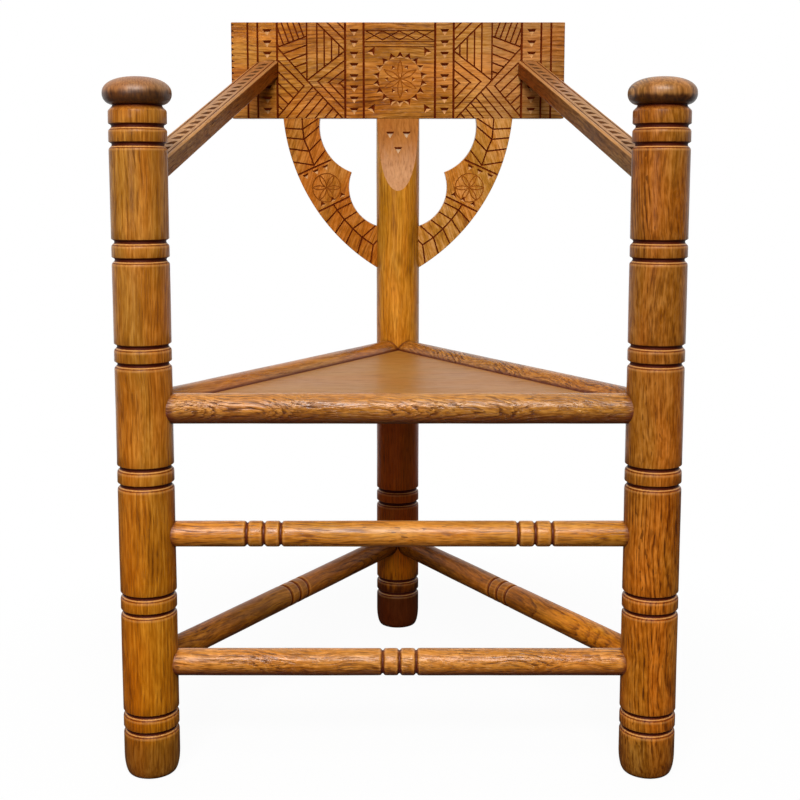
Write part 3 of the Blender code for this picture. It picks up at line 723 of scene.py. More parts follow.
def place_piece(name, shape, material, node, matrix=None):
    """Turn a bmesh into a piece that stands for a node of the model. Without a matrix it is a board that
    lies in place already, and its origin goes to its middle."""
    angle = SMOOTH_ANGLE
    if matrix is None:
        angle = FLAT_ANGLE
        spans = [[vertex.co[axis] for vertex in shape.verts] for axis in range(3)]
        middle = Vector([(min(span) + max(span)) / 2 for span in spans])
        bmesh.ops.translate(shape, verts=shape.verts[:], vec=-middle)
        matrix = Matrix.Translation(middle)
    piece = body_object(name, shape, [material])
    piece.matrix_world = matrix
    finish_shading(piece.data, angle)
    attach(piece, "root")
    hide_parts(node)
    return piece


def finish_shading(mesh, angle):
    """Smooth across shallow angles, sharp where two finishes meet."""
    mesh.shade_smooth()
    mesh.set_sharp_from_angle(angle=angle)
    shape = bmesh.new()
    shape.from_mesh(mesh)
    for edge in shape.edges:
        if len({face.material_index for face in edge.link_faces}) > 1:
            edge.smooth = False
    shape.to_mesh(mesh)
    shape.free()


def unevenness(spot, seed):
    """A slight swell or hollow left by hand turning."""
    return UNEVEN * noise.noise(Vector(spot) * UNEVEN_PITCH + Vector((seed, 2 * seed, 0)))


def heading(angle):
    return Vector((cos(angle), sin(angle)))


def filled_in(stations):
    """Add stations on long plain stretches of (place along, radius, stain_and_shade) rows."""
    rows = [stations[0]]
    for before, after in zip(stations, stations[1:]):
        count = int(abs(after[0] - before[0]) / STATION_STEP)
        for step in range(1, count + 1):
            share = step / (count + 1)
            rows.append(tuple(a + (b - a) * share for a, b in zip(before, after)))
        rows.append(after)
    return rows


def skinned(loops):
    """A closed body through loops of (x, y, z) or (x, y, z, stain_and_shade) rows, capped at both ends."""
    shape = bmesh.new()
    layer = shape.verts.layers.float.new("stain_and_shade") if len(loops[0][0]) > 3 else None
    rings = []
    for loop in loops:
        ring = [shape.verts.new(row[:3]) for row in loop]
        if layer:
            for vertex, row in zip(ring, loop):
                vertex[layer] = row[3]
        rings.append(ring)
    for lower, upper in zip(rings, rings[1:]):
        for here in range(len(lower)):
            ahead = (here + 1) % len(lower)
            shape.faces.new((lower[here], lower[ahead], upper[ahead], upper[here]))
    shape.faces.new(rings[0])
    shape.faces.new(rings[-1])
    return shape


def turned_shape(stations, seed):
    """Turn (height, radius, stain_and_shade) rows, listed upwards, about the Z axis into a closed body."""
    loops = []
    for height, radius, stain_and_shade in filled_in(stations):
        loop = []
        for step in range(POST_SEGMENTS):
            angle = 2 * pi * step / POST_SEGMENTS
            wide = radius + unevenness((radius * cos(angle), radius * sin(angle), height), seed)
            loop.append((wide * cos(angle), wide * sin(angle), height, stain_and_shade))
        loops.append(loop)
    return skinned(loops)


def groove_rows(middle, radius, groove):
    """Rows of one V groove, listed upwards."""
    return [(middle + offset, radius - depth, stain_and_shade) for offset, depth, stain_and_shade in reversed(groove)]


def post_rows(ring_heights):
    """A foot that draws in towards the floor, and ring pairs."""
    rows = []
    for step in range(FOOT_STEPS + 1):
        angle = pi / 2 * step / FOOT_STEPS
        height = FOOT_RISE * (1 - cos(angle))
        darkening = FOOT_DIRT * (1 - FOOT_DIRT_FALL * height / FOOT_DIRT_TOP)
        rows.append((height, POST_RADIUS - FOOT_INSET * (1 - sin(angle)), darkening))
    rows.append((FOOT_DIRT_TOP, POST_RADIUS, FOOT_DIRT_END))
    for height in ring_heights:
        for groove in (height - BAND_WIDTH / 2, height + BAND_WIDTH / 2):
            rows += groove_rows(groove, POST_RADIUS, RING_GROOVE)
    return rows


def make_front_posts():
    for index, (side, _) in enumerate(SIDES):
        node = f"front_{side}_post"
        rows = post_rows((*RING_HEIGHTS, FRONT_POST_TOP - TOP_RING_DROP))
        rows += [(FRONT_POST_TOP - drop, POST_RADIUS - inset, stain_and_shade) for drop, inset, stain_and_shade in NECK]
        shape = turned_shape(rows, POST_SEEDS[index])
        # Redder lower post and darker foot, partly painted shade
        tone_and_light_spans = ((FOOT_TONES[index], *FOOT_FADE), (FOOT_DARK_TONE, *FOOT_DARK))
        material = oak(
            side + "_post_oak", POST_TONES[index], POST_GRAINS[index], POST_STYLES[index],
            POST_MARKS[index], tone_and_light_spans,
        )
        place_piece(f"turned_{node}", shape, material, node, Matrix.Translation(POSTS[node]))


def make_knobs():
    seat = FRONT_POST_TOP
    angles = [pi / 2 * step / KNOB_STEPS for step in range(KNOB_STEPS + 1)]
    for index, (side, _) in enumerate(SIDES):
        node = side + "_knob"
        low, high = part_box(node)
        radius = (high.x - low.x) / 2 - KNOB_TRIM
        widest = seat + KNOB_UNDERCUT
        rows = []
        for angle in angles:
            out = KNOB_SEAT_RADIUS + (radius - KNOB_SEAT_RADIUS) * sin(angle)
            rows.append((widest - KNOB_UNDERCUT * cos(angle), out, 0.0))
        for angle in angles[1:-1]:
            out, rise = (part ** (2 / KNOB_SHAPE) for part in (cos(angle), sin(angle)))
            rows.append((widest + (high.z - widest) * rise, radius * out, 0.0))
        shape = turned_shape(rows, KNOB_SEEDS[index])
        # Painted shade on the knob's underside
        tone_and_light_spans = ((KNOB_UNDER_SHADE_TONE, *(seat + rise for rise in KNOB_SHADE[index])),)
        material = oak(side + "_knob_oak", KNOB_TONES[index], KNOB_GRAINS[index], POLISHED, tone_and_light_spans=tone_and_light_spans)
        matrix = Matrix.Translation(POSTS[f"front_{side}_post"])
        place_piece(f"turned_{node}", shape, material, node, matrix)


def upright_matrix(start, along):
    """A frame with Z along a bar, X level across it and Y on its upper side."""
    across = UP.cross(along).normalized()
    upper = along.cross(across)
    return Matrix.Translation(start) @ Matrix((across, upper, along)).transposed().to_4x4()


def bar_grain(seed, figure=1.0, spacing=RING_SPACING, tilt=4):
    return Grain((0, radians(tilt), 0), seed, BAR_PITH, figure, spacing)


def make_bar(
    node, ends, tone, grain, style=LIVELY, grooves=(), mitre=None, rub_and_under_shade=(0, 0), marks=0.0, tone_and_light_spans=(), seam=None
):
    """A round bar between two posts, its ends shaped to their round, or to the neighbouring bar where
    mitre gives the third post. rub_and_under_shade holds the staining along its top, rubbed paler with
    a painted highlight where below zero, and the painted shade along its underside; seam is the height
    at which a panel meets its inner side, where painted shade runs along the seam."""
    low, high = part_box(node)
    radius = (high.z - low.z) / 2
    height = UP * (high.z + low.z) / 2
    first, last = (POSTS[name] + height for name in ends)
    length = (last - first).length
    matrix = upright_matrix(first, (last - first).normalized())
    inward = 1 if (SEAT_MIDDLE - POSTS[ends[0]]).dot(matrix.col[0].to_3d()) > 0 else -1

    def reach(level_offset, here, there):
        """How far from a post's axis the bar's surface starts, at a level distance from its axis."""
        cope = sqrt((POST_RADIUS - OVERLAP) ** 2 - level_offset**2)
        if mitre is None:
            return cope
        half_angle = (POSTS[there] - POSTS[here]).angle(POSTS[mitre] - POSTS[here]) / 2
        return max(cope, inward * level_offset / tan(half_angle))

    near = POST_RADIUS + (MITRE_REACH if mitre else JOINT_REACH)
    rows = [(near, radius, 0.0)]
    for place in sorted(grooves):
        rows += groove_rows(length / 2 + place, radius, BAR_GROOVE)
    rows = filled_in(rows + [(length - near, radius, 0.0)])
    rows = [(near, radius, JOINT_STAIN)] + rows + [(length - near, radius, JOINT_STAIN)]
    loops = []
    for number, (spot, wide, stain_and_shade) in enumerate(rows):
        loop = []
        for step in range(BAR_SEGMENTS):
            angle = 2 * pi * step / BAR_SEGMENTS
            lean = sin(angle)
            level_offset = wide * cos(angle)
            along_spot = spot
            if number == 0:
                along_spot = reach(level_offset, *ends)
            elif number == len(rows) - 1:
                along_spot = length - reach(level_offset, *ends[::-1])
            swell = 1 + unevenness((level_offset, wide * lean, spot), grain.seed) / wide
            # Along the top staining, rubbed paler with a painted highlight where below zero; underneath
            # painted shade
            rub_and_shade = rub_and_under_shade[0] * lean**2 if lean > 0 else rub_and_under_shade[1] * min(1.0, -lean / UNDER_SHADE_LEAN)
            # Painted shade along the inner side where the seat panel meets the bar
            if seam is not None and inward * level_offset > 0:
                away = abs(radius * lean - seam + height.z) / radius
                rub_and_shade += SEAM_SHADE * max(0.0, 1 - away / SEAM_SHADE_SPAN)
            shade = min(1.0, stain_and_shade + rub_and_shade)
            loop.append((level_offset * swell, wide * lean * swell, along_spot, shade))
        loops.append(loop)
    material = oak(node + "_oak", tone, grain, style, marks, tone_and_light_spans)
    place_piece("turned_" + node, skinned(loops), material, node, matrix)


def make_bars():
    left, right, rear = POSTS
    trio = (-GROOVE_PITCH, 0, GROOVE_PITCH)
    pairs = [group + place for group in (-UPPER_GROOVE_SPREAD, UPPER_GROOVE_SPREAD) for place in trio]
    make_bar(
        "front_seat_rail", (left, right), RAIL_TONE, bar_grain(4, 1.1, spacing=0.0034, tilt=8),
        mitre=rear, rub_and_under_shade=(-0.30, 0.72), marks=0.85,
    )
    make_bar(
        "left_seat_rail", (left, rear), RAIL_TONE, bar_grain(5, 0.5), TURNED,
        mitre=right, rub_and_under_shade=(0.08, 0.2), seam=SEAT_TOP,
    )
    make_bar(
        "right_seat_rail", (right, rear), RAIL_TONE, bar_grain(6, 1.3, spacing=0.0032, tilt=7),
        mitre=left, rub_and_under_shade=(0, 0.2), seam=SEAT_TOP,
    )
    make_bar(
        "upper_front_stretcher", (left, right), UPPER_TONE, bar_grain(7), STROKED, pairs,
        rub_and_under_shade=(-0.06, 0.18), marks=0.8,
    )
    make_bar(
        "lower_front_stretcher", (left, right), LOWER_TONE, bar_grain(8), LIVELY, trio,
        rub_and_under_shade=(-0.16, 0.90), marks=0.6,
    )
    make_bar("left_side_stretcher", (left, rear), LEFT_SIDE_TONE, bar_grain(9), MOTTLED, trio, rub_and_under_shade=(0, 0.3))
    make_bar(
        "right_side_stretcher", (right, rear), RIGHT_SIDE_TONE, bar_grain(10), MOTTLED, trio,
        # Lighter front half, partly painted light
        rub_and_under_shade=(0, 0.35), tone_and_light_spans=((SIDE_FRONT_TONE, *SIDE_FADE),),
    )


def make_seat():
    """A triangular board whose edges stop at the round of the rails."""
    low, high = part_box("front_seat_rail")
    rail_radius = (high.z - low.z) / 2
    at_rail = sqrt(rail_radius**2 - (SEAT_TOP - (high.z + low.z) / 2) ** 2) - OVERLAP
    corners = list(POSTS.values())
    loops = []
    # Rows of inset, height and stain_and_shade: painted shade on the panel's eased edge and along its seam
    # by the rails
    for inset, height, stain_and_shade in (
        (0.0, SEAT_BOTTOM, 0.0),
        (0.0, SEAT_TOP - PANEL_EDGE, PANEL_EDGE_SHADE),
        (PANEL_EDGE, SEAT_TOP, PANEL_EDGE_SHADE),
        (PANEL_SEAM / 2, SEAT_TOP, SEAM_SHADE),
        (PANEL_SEAM, SEAT_TOP, 0.0),
    ):
        loop = []
        for place, corner in enumerate(corners):
            before = (corners[place - 1] - corner).normalized()
            after = (corners[(place + 1) % len(corners)] - corner).normalized()
            half = before.angle(after) / 2
            from_axis = at_rail + inset
            blunt = POST_RADIUS + PANEL_CORNER_GAP + inset / sin(half)
            run = (blunt - from_axis * sin(half)) / cos(half)
            for edge, aside in ((before, before.cross(UP)), (after, UP.cross(after))):
                spot = corner + edge * run + aside * from_axis + UP * height
                loop.append((*spot, stain_and_shade * (1.0 if spot.x < 0 else RIGHT_SEAM_SHARE)))
        loops.append(loop)
    material = oak("seat_oak", SEAT_TONE, SEAT_GRAIN, QUIET)
    place_piece("seat_board", skinned(loops), material, "seat_panel")


class Carving:
    """Knife cuts in one flat face, gathered in one body that is then cut from the piece.

    Points are (across, up) on the face, whose matrix has its outward normal as Z. Each face of a cut has
    one of four finishes: dark staining, which on the walls of pits and gouges is painted shade; pale cut
    oak, which on their floors is partly painted light; a faint incised line; or dark brown."""

    DARK, PALE, FAINT, SOOTY = range(4)
    LINE_FACES = ((0, 1, 2, 3), (0, 1, 5, 4), (2, 3, 4, 5), (1, 2, 5), (3, 0, 4))
    GOUGE_WALLS = ((0, 1, 2), (0, 1, 4, 3), (1, 2, 5, 4), (2, 0, 3, 5), (3, 4, 7, 6))
    GOUGE_FLOORS = ((6, 7, 5), (3, 6, 5), (4, 5, 7))

    def __init__(self, matrix):
        self.matrix = matrix
        self.shape = bmesh.new()
        self.count = 0

    def next_lift(self):
        self.count += 1
        return LIFT + LIFT_STEP * self.count

    def add(self, levels, faces):
        """Add a body from (height, points) levels and (finish, corner numbers) faces."""
        made = [
            self.shape.verts.new(self.matrix @ Vector((*point, height)))
            for height, points in levels
            for point in points
        ]
        for finish, corners in faces:
            self.shape.faces.new([made[corner] for corner in corners]).material_index = finish

    def line(self, start, end, half_width=LINE_HALF_WIDTH, depth=LINE_DEPTH, finish=DARK):
        """A V groove with sloping ends."""
        start, end = Vector(start), Vector(end)
        lift = self.next_lift()
        wide = half_width * (1 + lift / depth)
        along = (end - start).normalized()
        side = Vector((-along.y, along.x))
        rim = [
            start - (along + side) * wide,
            end + (along - side) * wide,
            end + (along + side) * wide,
            start - (along - side) * wide,
        ]
        self.add(((lift, rim), (-depth, (start, end))), [(finish, corners) for corners in self.LINE_FACES])

    def pit(self, outline, deepest, depth, shade=Vector((0, 1))):
        """A hollow with straight sides from an outline to one deepest point. Its walls are dark as painted
        shade, apart from the side turned away from shade, which is pale cut oak as painted light; where
        shade is None they are all dark brown."""
        outline = [Vector(point) for point in outline]
        deepest = Vector(deepest)
        lift = self.next_lift()
        grow = 1 + lift / depth
        rim = [deepest + (point - deepest) * grow for point in outline]
        count = len(rim)
        faces = [(self.DARK, range(count))]
        for here in range(count):
            ahead = (here + 1) % count
            toward = ((outline[here] + outline[ahead]) / 2 - deepest).normalized()
            finish = self.SOOTY
            if shade:
                finish = self.DARK if toward.dot(shade) > SHADE_LIMIT else self.PALE
            faces.append((finish, (here, ahead, count)))
        self.add(((lift, rim), (-depth, (deepest,))), faces)

    def arrow_pit(self, middle, size, turn):
        """A three-sided pit of a width, length and depth that points up before its turn."""
        width, length, depth = size
        spin = Matrix.Rotation(turn, 2)
        outline = [(-width / 2, -length / 3), (width / 2, -length / 3), (0, length * 2 / 3)]
        self.pit([Vector(middle) + spin @ Vector(point) for point in outline], middle, depth)

    def gouge(self, middle, size, turn=0.0, heel_share=CHIP_HEEL):
        """A stabbed chip of a width, length and depth: a steep wall under a straight upper edge, and a floor
        that rises to a tip below it, before its turn. The wall takes heel_share of the length. The wall is
        dark as painted shade and the floor pale cut oak as painted light."""
        width, length, depth = size
        spin = Matrix.Rotation(turn, 2)
        rim = [(-width / 2, 0), (width / 2, 0), (0, -length)]
        heel = [(end * width / 2 * CHIP_FLOOR, -length * heel_share) for end in (-1, 1)]
        rim, heel = ([Vector(middle) + spin @ Vector(point) for point in points] for points in (rim, heel))
        faces = [(self.DARK, corners) for corners in self.GOUGE_WALLS]
        faces += [(self.PALE, corners) for corners in self.GOUGE_FLOORS]
        self.add(((self.next_lift(), rim), (LIFT_STEP, rim), (-depth, heel)), faces)

    def cut(self, piece, finishes, angle=FLAT_ANGLE):
        """Cut everything from a piece, whose mesh gains the finishes of the cut faces."""
        cut_away(piece, body_object(piece.name + "_cuts", self.shape, finishes), angle)


def cut_away(piece, cutter, angle):
    """Subtract a body from a piece for good and remove the body."""
    modifier = piece.modifiers.new("cut", "BOOLEAN")
    modifier.operation = "DIFFERENCE"
    modifier.solver = "EXACT"
    modifier.use_self = True
    modifier.material_mode = "TRANSFER"
    modifier.object = cutter
    bpy.context.view_layer.update()
    evaluated = piece.evaluated_get(bpy.context.evaluated_depsgraph_get())
    mesh = bpy.data.meshes.new_from_object(evaluated)
    piece.modifiers.clear()
    old = piece.data
    name = old.name
    piece.data = mesh
    bpy.data.meshes.remove(old)
    mesh.name = name
    bpy.data.objects.remove(cutter)
    shape = bmesh.new()
    shape.from_mesh(mesh)
    bmesh.ops.remove_doubles(shape, verts=shape.verts[:], dist=MERGE_DISTANCE)
    bmesh.ops.dissolve_degenerate(shape, edges=shape.edges[:], dist=MERGE_DISTANCE)
    groups = {}
    for face in shape.faces:
        groups.setdefault(frozenset(face.verts), []).append(face)
    doubled = [face for group in groups.values() if len(group) > 1 for face in group]
    bmesh.ops.delete(shape, geom=doubled, context="FACES")
    shape.to_mesh(mesh)
    shape.free()
    finish_shading(mesh, angle)


def square_to(edge, inside):
    """The direction square to an edge that points to the side of a second direction."""
    normal = Vector((-edge.y, edge.x))
    return -normal if normal.dot(inside) < 0 else normal


def clipped(point, direction, polygon):
    """The stretch of a line inside a convex polygon, or None."""
    middle = sum(polygon, Vector((0, 0))) / len(polygon)
    low, high = -1.0, 1.0
    for place, corner in enumerate(polygon):
        normal = square_to(polygon[place - 1] - corner, middle - corner)
        speed = normal.dot(direction)
        room = normal.dot(point - corner)
        if abs(speed) < PARALLEL:
            if room < 0:
                return None
        elif speed > 0:
            low = max(low, -room / speed)
        else:
            high = min(high, -room / speed)
    if high - low < 2 * LINE_HALF_WIDTH:
        return None
    return point + direction * low, point + direction * high


def hatching(polygon, edge, first, pitch, count):
    """Lines inside a polygon, parallel to an edge and counted inwards from it."""
    start, end = edge
    direction = (end - start).normalized()
    normal = square_to(direction, sum(polygon, Vector((0, 0))) / len(polygon) - start)
    starts = [start + normal * (first + pitch * number) for number in range(count)]
    return [line for line in (clipped(spot, direction, polygon) for spot in starts) if line]


def pinwheel_lines():
    """Spokes from an off-centre hub of a side panel, and the hatching between them."""
    top = CREST_HEIGHT
    north = Vector((HUB.x, top))
    brow = Vector((BROW, top))
    inner_top = Vector((PANEL_INNER, top))
    east = Vector((PANEL_INNER, EAST_RISE))
    middle = Vector((PANEL_INNER, MIDDLE_RISE))
    south = Vector((SOUTH, 0))
    west = Vector((PANEL_OUTER, WEST_RISE))
    outer_top = Vector((PANEL_OUTER, top))
    shoulder = Vector((HUB.x, SHOULDER_RISE))
    cheek = Vector((PANEL_OUTER, CHEEK_RISE))
    corner = Vector((PANEL_OUTER, CORNER_RISE))
    foot = Vector((PANEL_OUTER, 0))
    square = shoulder + Vector((shoulder.y - west.y, west.x - shoulder.x))
    lines = [
        (HUB, north), (HUB, east), (HUB, south), (HUB, west),
        (brow, east), (west, shoulder), (cheek, FORK), (FORK, corner),
    ]
    for polygon, edge, first, pitch, count in (
        ((HUB, north, brow, east), (HUB, north), SPOKE_BAND, HATCH_PITCH, 5),
        ((brow, inner_top, east), (brow, east), HATCH_PITCH, HATCH_PITCH, 3),
        ((HUB, east, middle), (HUB, east), HATCH_PITCH, HATCH_PITCH, 4),
        ((HUB, middle, south), (HUB, south), HATCH_PITCH, HATCH_PITCH, 4),
        ((FORK, HUB, south, foot, corner), (FORK, corner), HATCH_PITCH, HATCH_PITCH, 6),
        ((FORK, cheek, corner), (cheek, FORK), WIDE_PITCH, WIDE_PITCH, 4),
        ((HUB, west, shoulder), (west, shoulder), WIDE_PITCH, WIDE_PITCH, 5),
        ((west, outer_top, north, shoulder), (shoulder, square), CLOSE_PITCH / 2, CLOSE_PITCH, 7),
    ):
        lines += hatching(polygon, edge, first, pitch, count)
    return lines


def carve_crest(carving):
    top = CREST_HEIGHT
    edge = (CREST_HIGH.x - CREST_LOW.x) / 2
    borders = [(across, END_HALF_WIDTH) for across in END_LINES]
    borders += [(across, BORDER_HALF_WIDTH) for across in (PANEL_OUTER, PANEL_INNER, CENTRE_EDGE)]
    for _, sign in SIDES:
        for across, half_width in borders:
            carving.line((sign * across, 0), (sign * across, top), half_width, BORDER_DEPTH)
        for across in CHIP_COLUMNS:
            for number in range(CHIP_COUNT):
                spot = (sign * across, CHIP_TOP - CHIP_PITCH * number)
                carving.gouge(spot, (CHIP_WIDTH, CHIP_LENGTH, CHIP_DEPTH))
        for start, end in pinwheel_lines():
            carving.line((sign * start.x, start.y), (sign * end.x, end.y))
        for number in range(NICK_COUNT):
            height = top * (number + 0.5) / NICK_COUNT
            outline = [
                (sign * (edge + NICK_SIZE), height - NICK_SIZE),
                (sign * (edge + NICK_SIZE), height + NICK_SIZE),
                (sign * (edge - NICK_SIZE), height),
            ]
            carving.pit(outline, (sign * edge, height), NICK_SIZE)
        for across, height in CORNER_CHIPS:
            carving.arrow_pit((sign * across, height), CORNER_CHIP_SIZE, sign * CORNER_CHIP_TURN)
    carve_middle(carving)


def carve_middle(carving):
    """The lattice band and the medallion."""
    for height in LATTICE_LINES:
        carving.line((-CENTRE_EDGE, height), (CENTRE_EDGE, height), *LATTICE_CUT)
    for phase in (0, 1):
        steps = range(-LATTICE_REACH, LATTICE_REACH + 1)
        corners = [(step * LATTICE_PITCH, LATTICE_HEIGHTS[(step + phase) % 2]) for step in steps]
        for start, end in zip(corners, corners[1:]):
            carving.line(start, end, *LATTICE_CUT)
    for number in range(NOTCH_COUNT):
        turn = 2 * pi * number / NOTCH_COUNT
        carving.arrow_pit(MEDALLION + heading(pi / 2 + turn) * NOTCH_RADIUS, NOTCH_SIZE, turn)
    for number in range(PETAL_COUNT):
        angle = pi / 2 + 2 * pi * number / PETAL_COUNT
        strokes(carving, leaf(MEDALLION, MEDALLION + heading(angle) * PETAL_LENGTH, PETAL_HALF_WIDTH))
        between = angle + pi / PETAL_COUNT
        carving.arrow_pit(MEDALLION + heading(between) * SEED_RADIUS, SEED_SIZE, between - pi / 2)


def closed(points):
    """The sides of a closed outline."""
    return list(zip(points, points[1:] + points[:1]))


def leaf(start, end, half_width):
    """The outline of a leaf, as strokes."""
    return closed(arc(start, end, half_width, PETAL_STEPS) + arc(end, start, half_width, PETAL_STEPS))


def strokes(carving, lines):
    """Faint incised lines."""
    for start, end in lines:
        carving.line(start, end, FAINT_HALF_WIDTH, FAINT_DEPTH, carving.FAINT)


def flat_shape(outline, front, back, bevel):
    """An outline of (across, up) points as a board with eased edges, facing -Y."""
    shape = skinned([[(across, depth, up) for across, up in outline] for depth in (front, back)])
    bmesh.ops.recalc_face_normals(shape, faces=shape.faces[:])
    edges = [edge for edge in shape.edges if edge.calc_face_angle() > CORNER_ANGLE]
    bmesh.ops.bevel(shape, geom=edges, offset=bevel, segments=BEVEL_STEPS, affect="EDGES", profile=0.5)
    return shape


def board_plane(shift=0.0):
    """The frame of the crest board's face: across, up and out of the board, from its lower middle."""
    place = Matrix.Translation(Vector((shift, CREST_FRONT, CREST_LOW.z)))
    return place @ Matrix(((1, 0, 0), (0, 0, -1), (0, 1, 0))).to_4x4()


def make_crest():
    low, high = CREST_LOW, CREST_HIGH
    outline = [(low.x, low.z), (high.x, low.z), (high.x, high.z), (low.x, high.z)]
    # Darker right end, partly painted shade, and redder left end
    tone_and_light_spans = ((CREST_TONE, *CREST_RIGHT_END), (CREST_LEFT_TONE, *CREST_LEFT_END))
    material = oak("crest_oak", CREST_RIGHT_TONE, CREST_GRAIN, BOARD, tone_and_light_spans=tone_and_light_spans, span_axis="X")
    shape = flat_shape(outline, CREST_FRONT, high.y, CREST_BEVEL)
    crest = place_piece("carved_crest_board", shape, material, "crest_board")
    carving = Carving(board_plane(CREST_SHIFT))
    carve_crest(carving)
    carving.cut(crest, cut_finishes("crest", CREST_GRAIN))


def arc(start, end, bulge, steps=ARC_STEPS):
    """Points of a circular arc from start up to but not with end, bulge to the left of the chord."""
    chord = end - start
    half = chord.length / 2
    radius = (half * half + bulge * bulge) / (2 * bulge)
    normal = Vector((-chord.y, chord.x)).normalized()
    centre = (start + end) / 2 + normal * (bulge - radius)
    sweep = (start - centre).angle_signed(end - centre)
    return [centre + Matrix.Rotation(-sweep * step / steps, 2) @ (start - centre) for step in range(steps)]


def bracket_outline():
    """Across from the post's axis and up from the crest board: bowed back, two scallops and a cusp."""
    half_thickness = (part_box("left_bracket")[1].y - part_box("left_bracket")[0].y) / 2
    bracket_middle = CREST_FRONT + half_thickness
    at_post = sqrt(POST_RADIUS**2 - (bracket_middle - POSTS["rear_post"].y) ** 2) - BRACKET_SINK
    heel = Vector((POST_RADIUS, -BRACKET_HEEL_DROP))
    throat = Vector((POST_RADIUS, -BRACKET_THROAT_DROP))
    outer = Vector((BRACKET_TOP_OUTER, 0))
    inner = Vector((BRACKET_TOP_INNER, 0))
    points = [Vector((at_post, throat.y)), Vector((at_post, heel.y))]
    points += arc(heel, outer, -BRACKET_OUTER_BULGE)
    points.append(outer)
    points += arc(inner, BRACKET_CUSP, BRACKET_UPPER_BULGE)
    points += arc(BRACKET_CUSP, throat, BRACKET_LOWER_BULGE)
    points.append(throat)
    return points


def to_outline(start, direction, outline):
    """Where a ray from inside an outline leaves it."""
    found = []
    for place, here in enumerate(outline):
        edge = outline[place - 1] - here
        span = direction.x * edge.y - direction.y * edge.x
        if abs(span) > PARALLEL:
            offset = here - start
            along = (offset.x * edge.y - offset.y * edge.x) / span
            share = (offset.x * direction.y - offset.y * direction.x) / span
            if along > 0 and 0 <= share <= 1:
                found.append(along)
    return start + direction * min(found)


def chevrons(spine, angles, outline):
    """A spine line, and the arms that leave its corners to both edges of a bracket."""
    spine = [Vector(point) for point in spine]
    lines = list(zip(spine, spine[1:]))
    corners = spine[1:]
    for number, root in enumerate(corners):
        share = number / (len(corners) - 1)
        for first, last in angles:
            angle = radians(first + (last - first) * share)
            lines.append((root, to_outline(root, heading(angle), outline)))
    return lines


def carve_bracket(carving, sign, outline):
    def mirrored(point):
        return Vector((sign * point.x, point.y))

    lines = chevrons(UPPER_SPINE, UPPER_ANGLES, outline) + chevrons(LOWER_SPINE, LOWER_ANGLES, outline)
    for start, end in lines:
        carving.line(mirrored(start), mirrored(end))
    for ends, inset in zip(FIELD_LINES, FIELD_CHIP_INSETS):
        start, end = (Vector(point) for point in ends)
        carving.line(mirrored(start), mirrored(end), FIELD_HALF_WIDTH)
        along = (end - start).normalized()
        inside = square_to(along, ROUNDEL - start)
        lean = sign * atan2(-along.y, -along.x)
        for share in FIELD_CHIPS:
            spot = mirrored(start.lerp(end, share) + inside * inset)
            if inside.y < 0:
                carving.gouge(spot, FIELD_GOUGE, lean)
            else:
                carving.arrow_pit(spot, FIELD_PIT, lean)
    turns = [2 * pi * step / ROUNDEL_STEPS for step in range(ROUNDEL_STEPS)]
    rim = [ROUNDEL + heading(turn) * ROUNDEL_RADIUS for turn in turns]
    lines = closed(rim)
    for tip in rim[::ROUNDEL_STEPS // PETAL_COUNT]:
        lines += leaf(ROUNDEL, tip, ROUNDEL_RADIUS * (1 - sqrt(3) / 2))
    strokes(carving, [(mirrored(start), mirrored(end)) for start, end in lines])


def make_brackets():
    outline = bracket_outline()
    top = CREST_LOW.z + OVERLAP
    for index, (side, sign) in enumerate(SIDES):
        node, grain = side + "_bracket", BRACKET_GRAINS[index]
        points = [(sign * point.x, top + point.y) for point in outline]
        shape = flat_shape(points, CREST_FRONT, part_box(node)[1].y, BRACKET_BEVEL)
        material = oak(node + "_oak", BRACKET_TONES[index], grain, CARVED)
        bracket = place_piece("carved_" + node, shape, material, node)
        carving = Carving(board_plane())
        carve_bracket(carving, sign, outline)
        carving.cut(bracket, cut_finishes(node, grain))


def make_rear_post():
    rows = post_rows(RING_HEIGHTS[:REAR_RING_COUNT])
    rows += [
        (REAR_POST_TOP - REAR_POST_CHAMFER, POST_RADIUS, 0.0),
        (REAR_POST_TOP, POST_RADIUS - REAR_POST_CHAMFER, 0.0),
    ]
    # Painted seat shadow, painted pool of light and painted foot shadow, on the front half only
    tone_and_light_spans = (
        (SEAT_SHADOW_TONE, SEAT_BOTTOM - SEAT_SHADOW_FADE, SEAT_BOTTOM),
        (LIGHT_PATCH_TONE, *LIGHT_PATCH_FADE),
        (REAR_FOOT_SHADOW_TONE, *REAR_FOOT_SHADOW),
    )
    material = oak("rear_post_oak", REAR_TONE, REAR_GRAIN, TURNED, tone_and_light_spans=tone_and_light_spans, spans_on_back=False)
    shape = turned_shape(rows, REAR_POST_SEED)
    matrix = Matrix.Translation(POSTS["rear_post"])
    post = place_piece("turned_rear_post", shape, material, "rear_post", matrix)
    tip = Vector((REAR_POST_FRONT, CREST_LOW.z - FACET_LENGTH))
    scoop = arc(Vector((CREST_FRONT, CREST_LOW.z)), tip, FACET_SCOOP, FACET_STEPS) + [tip]
    cut_notch(post, scoop)
    carve_facet(post, scoop)


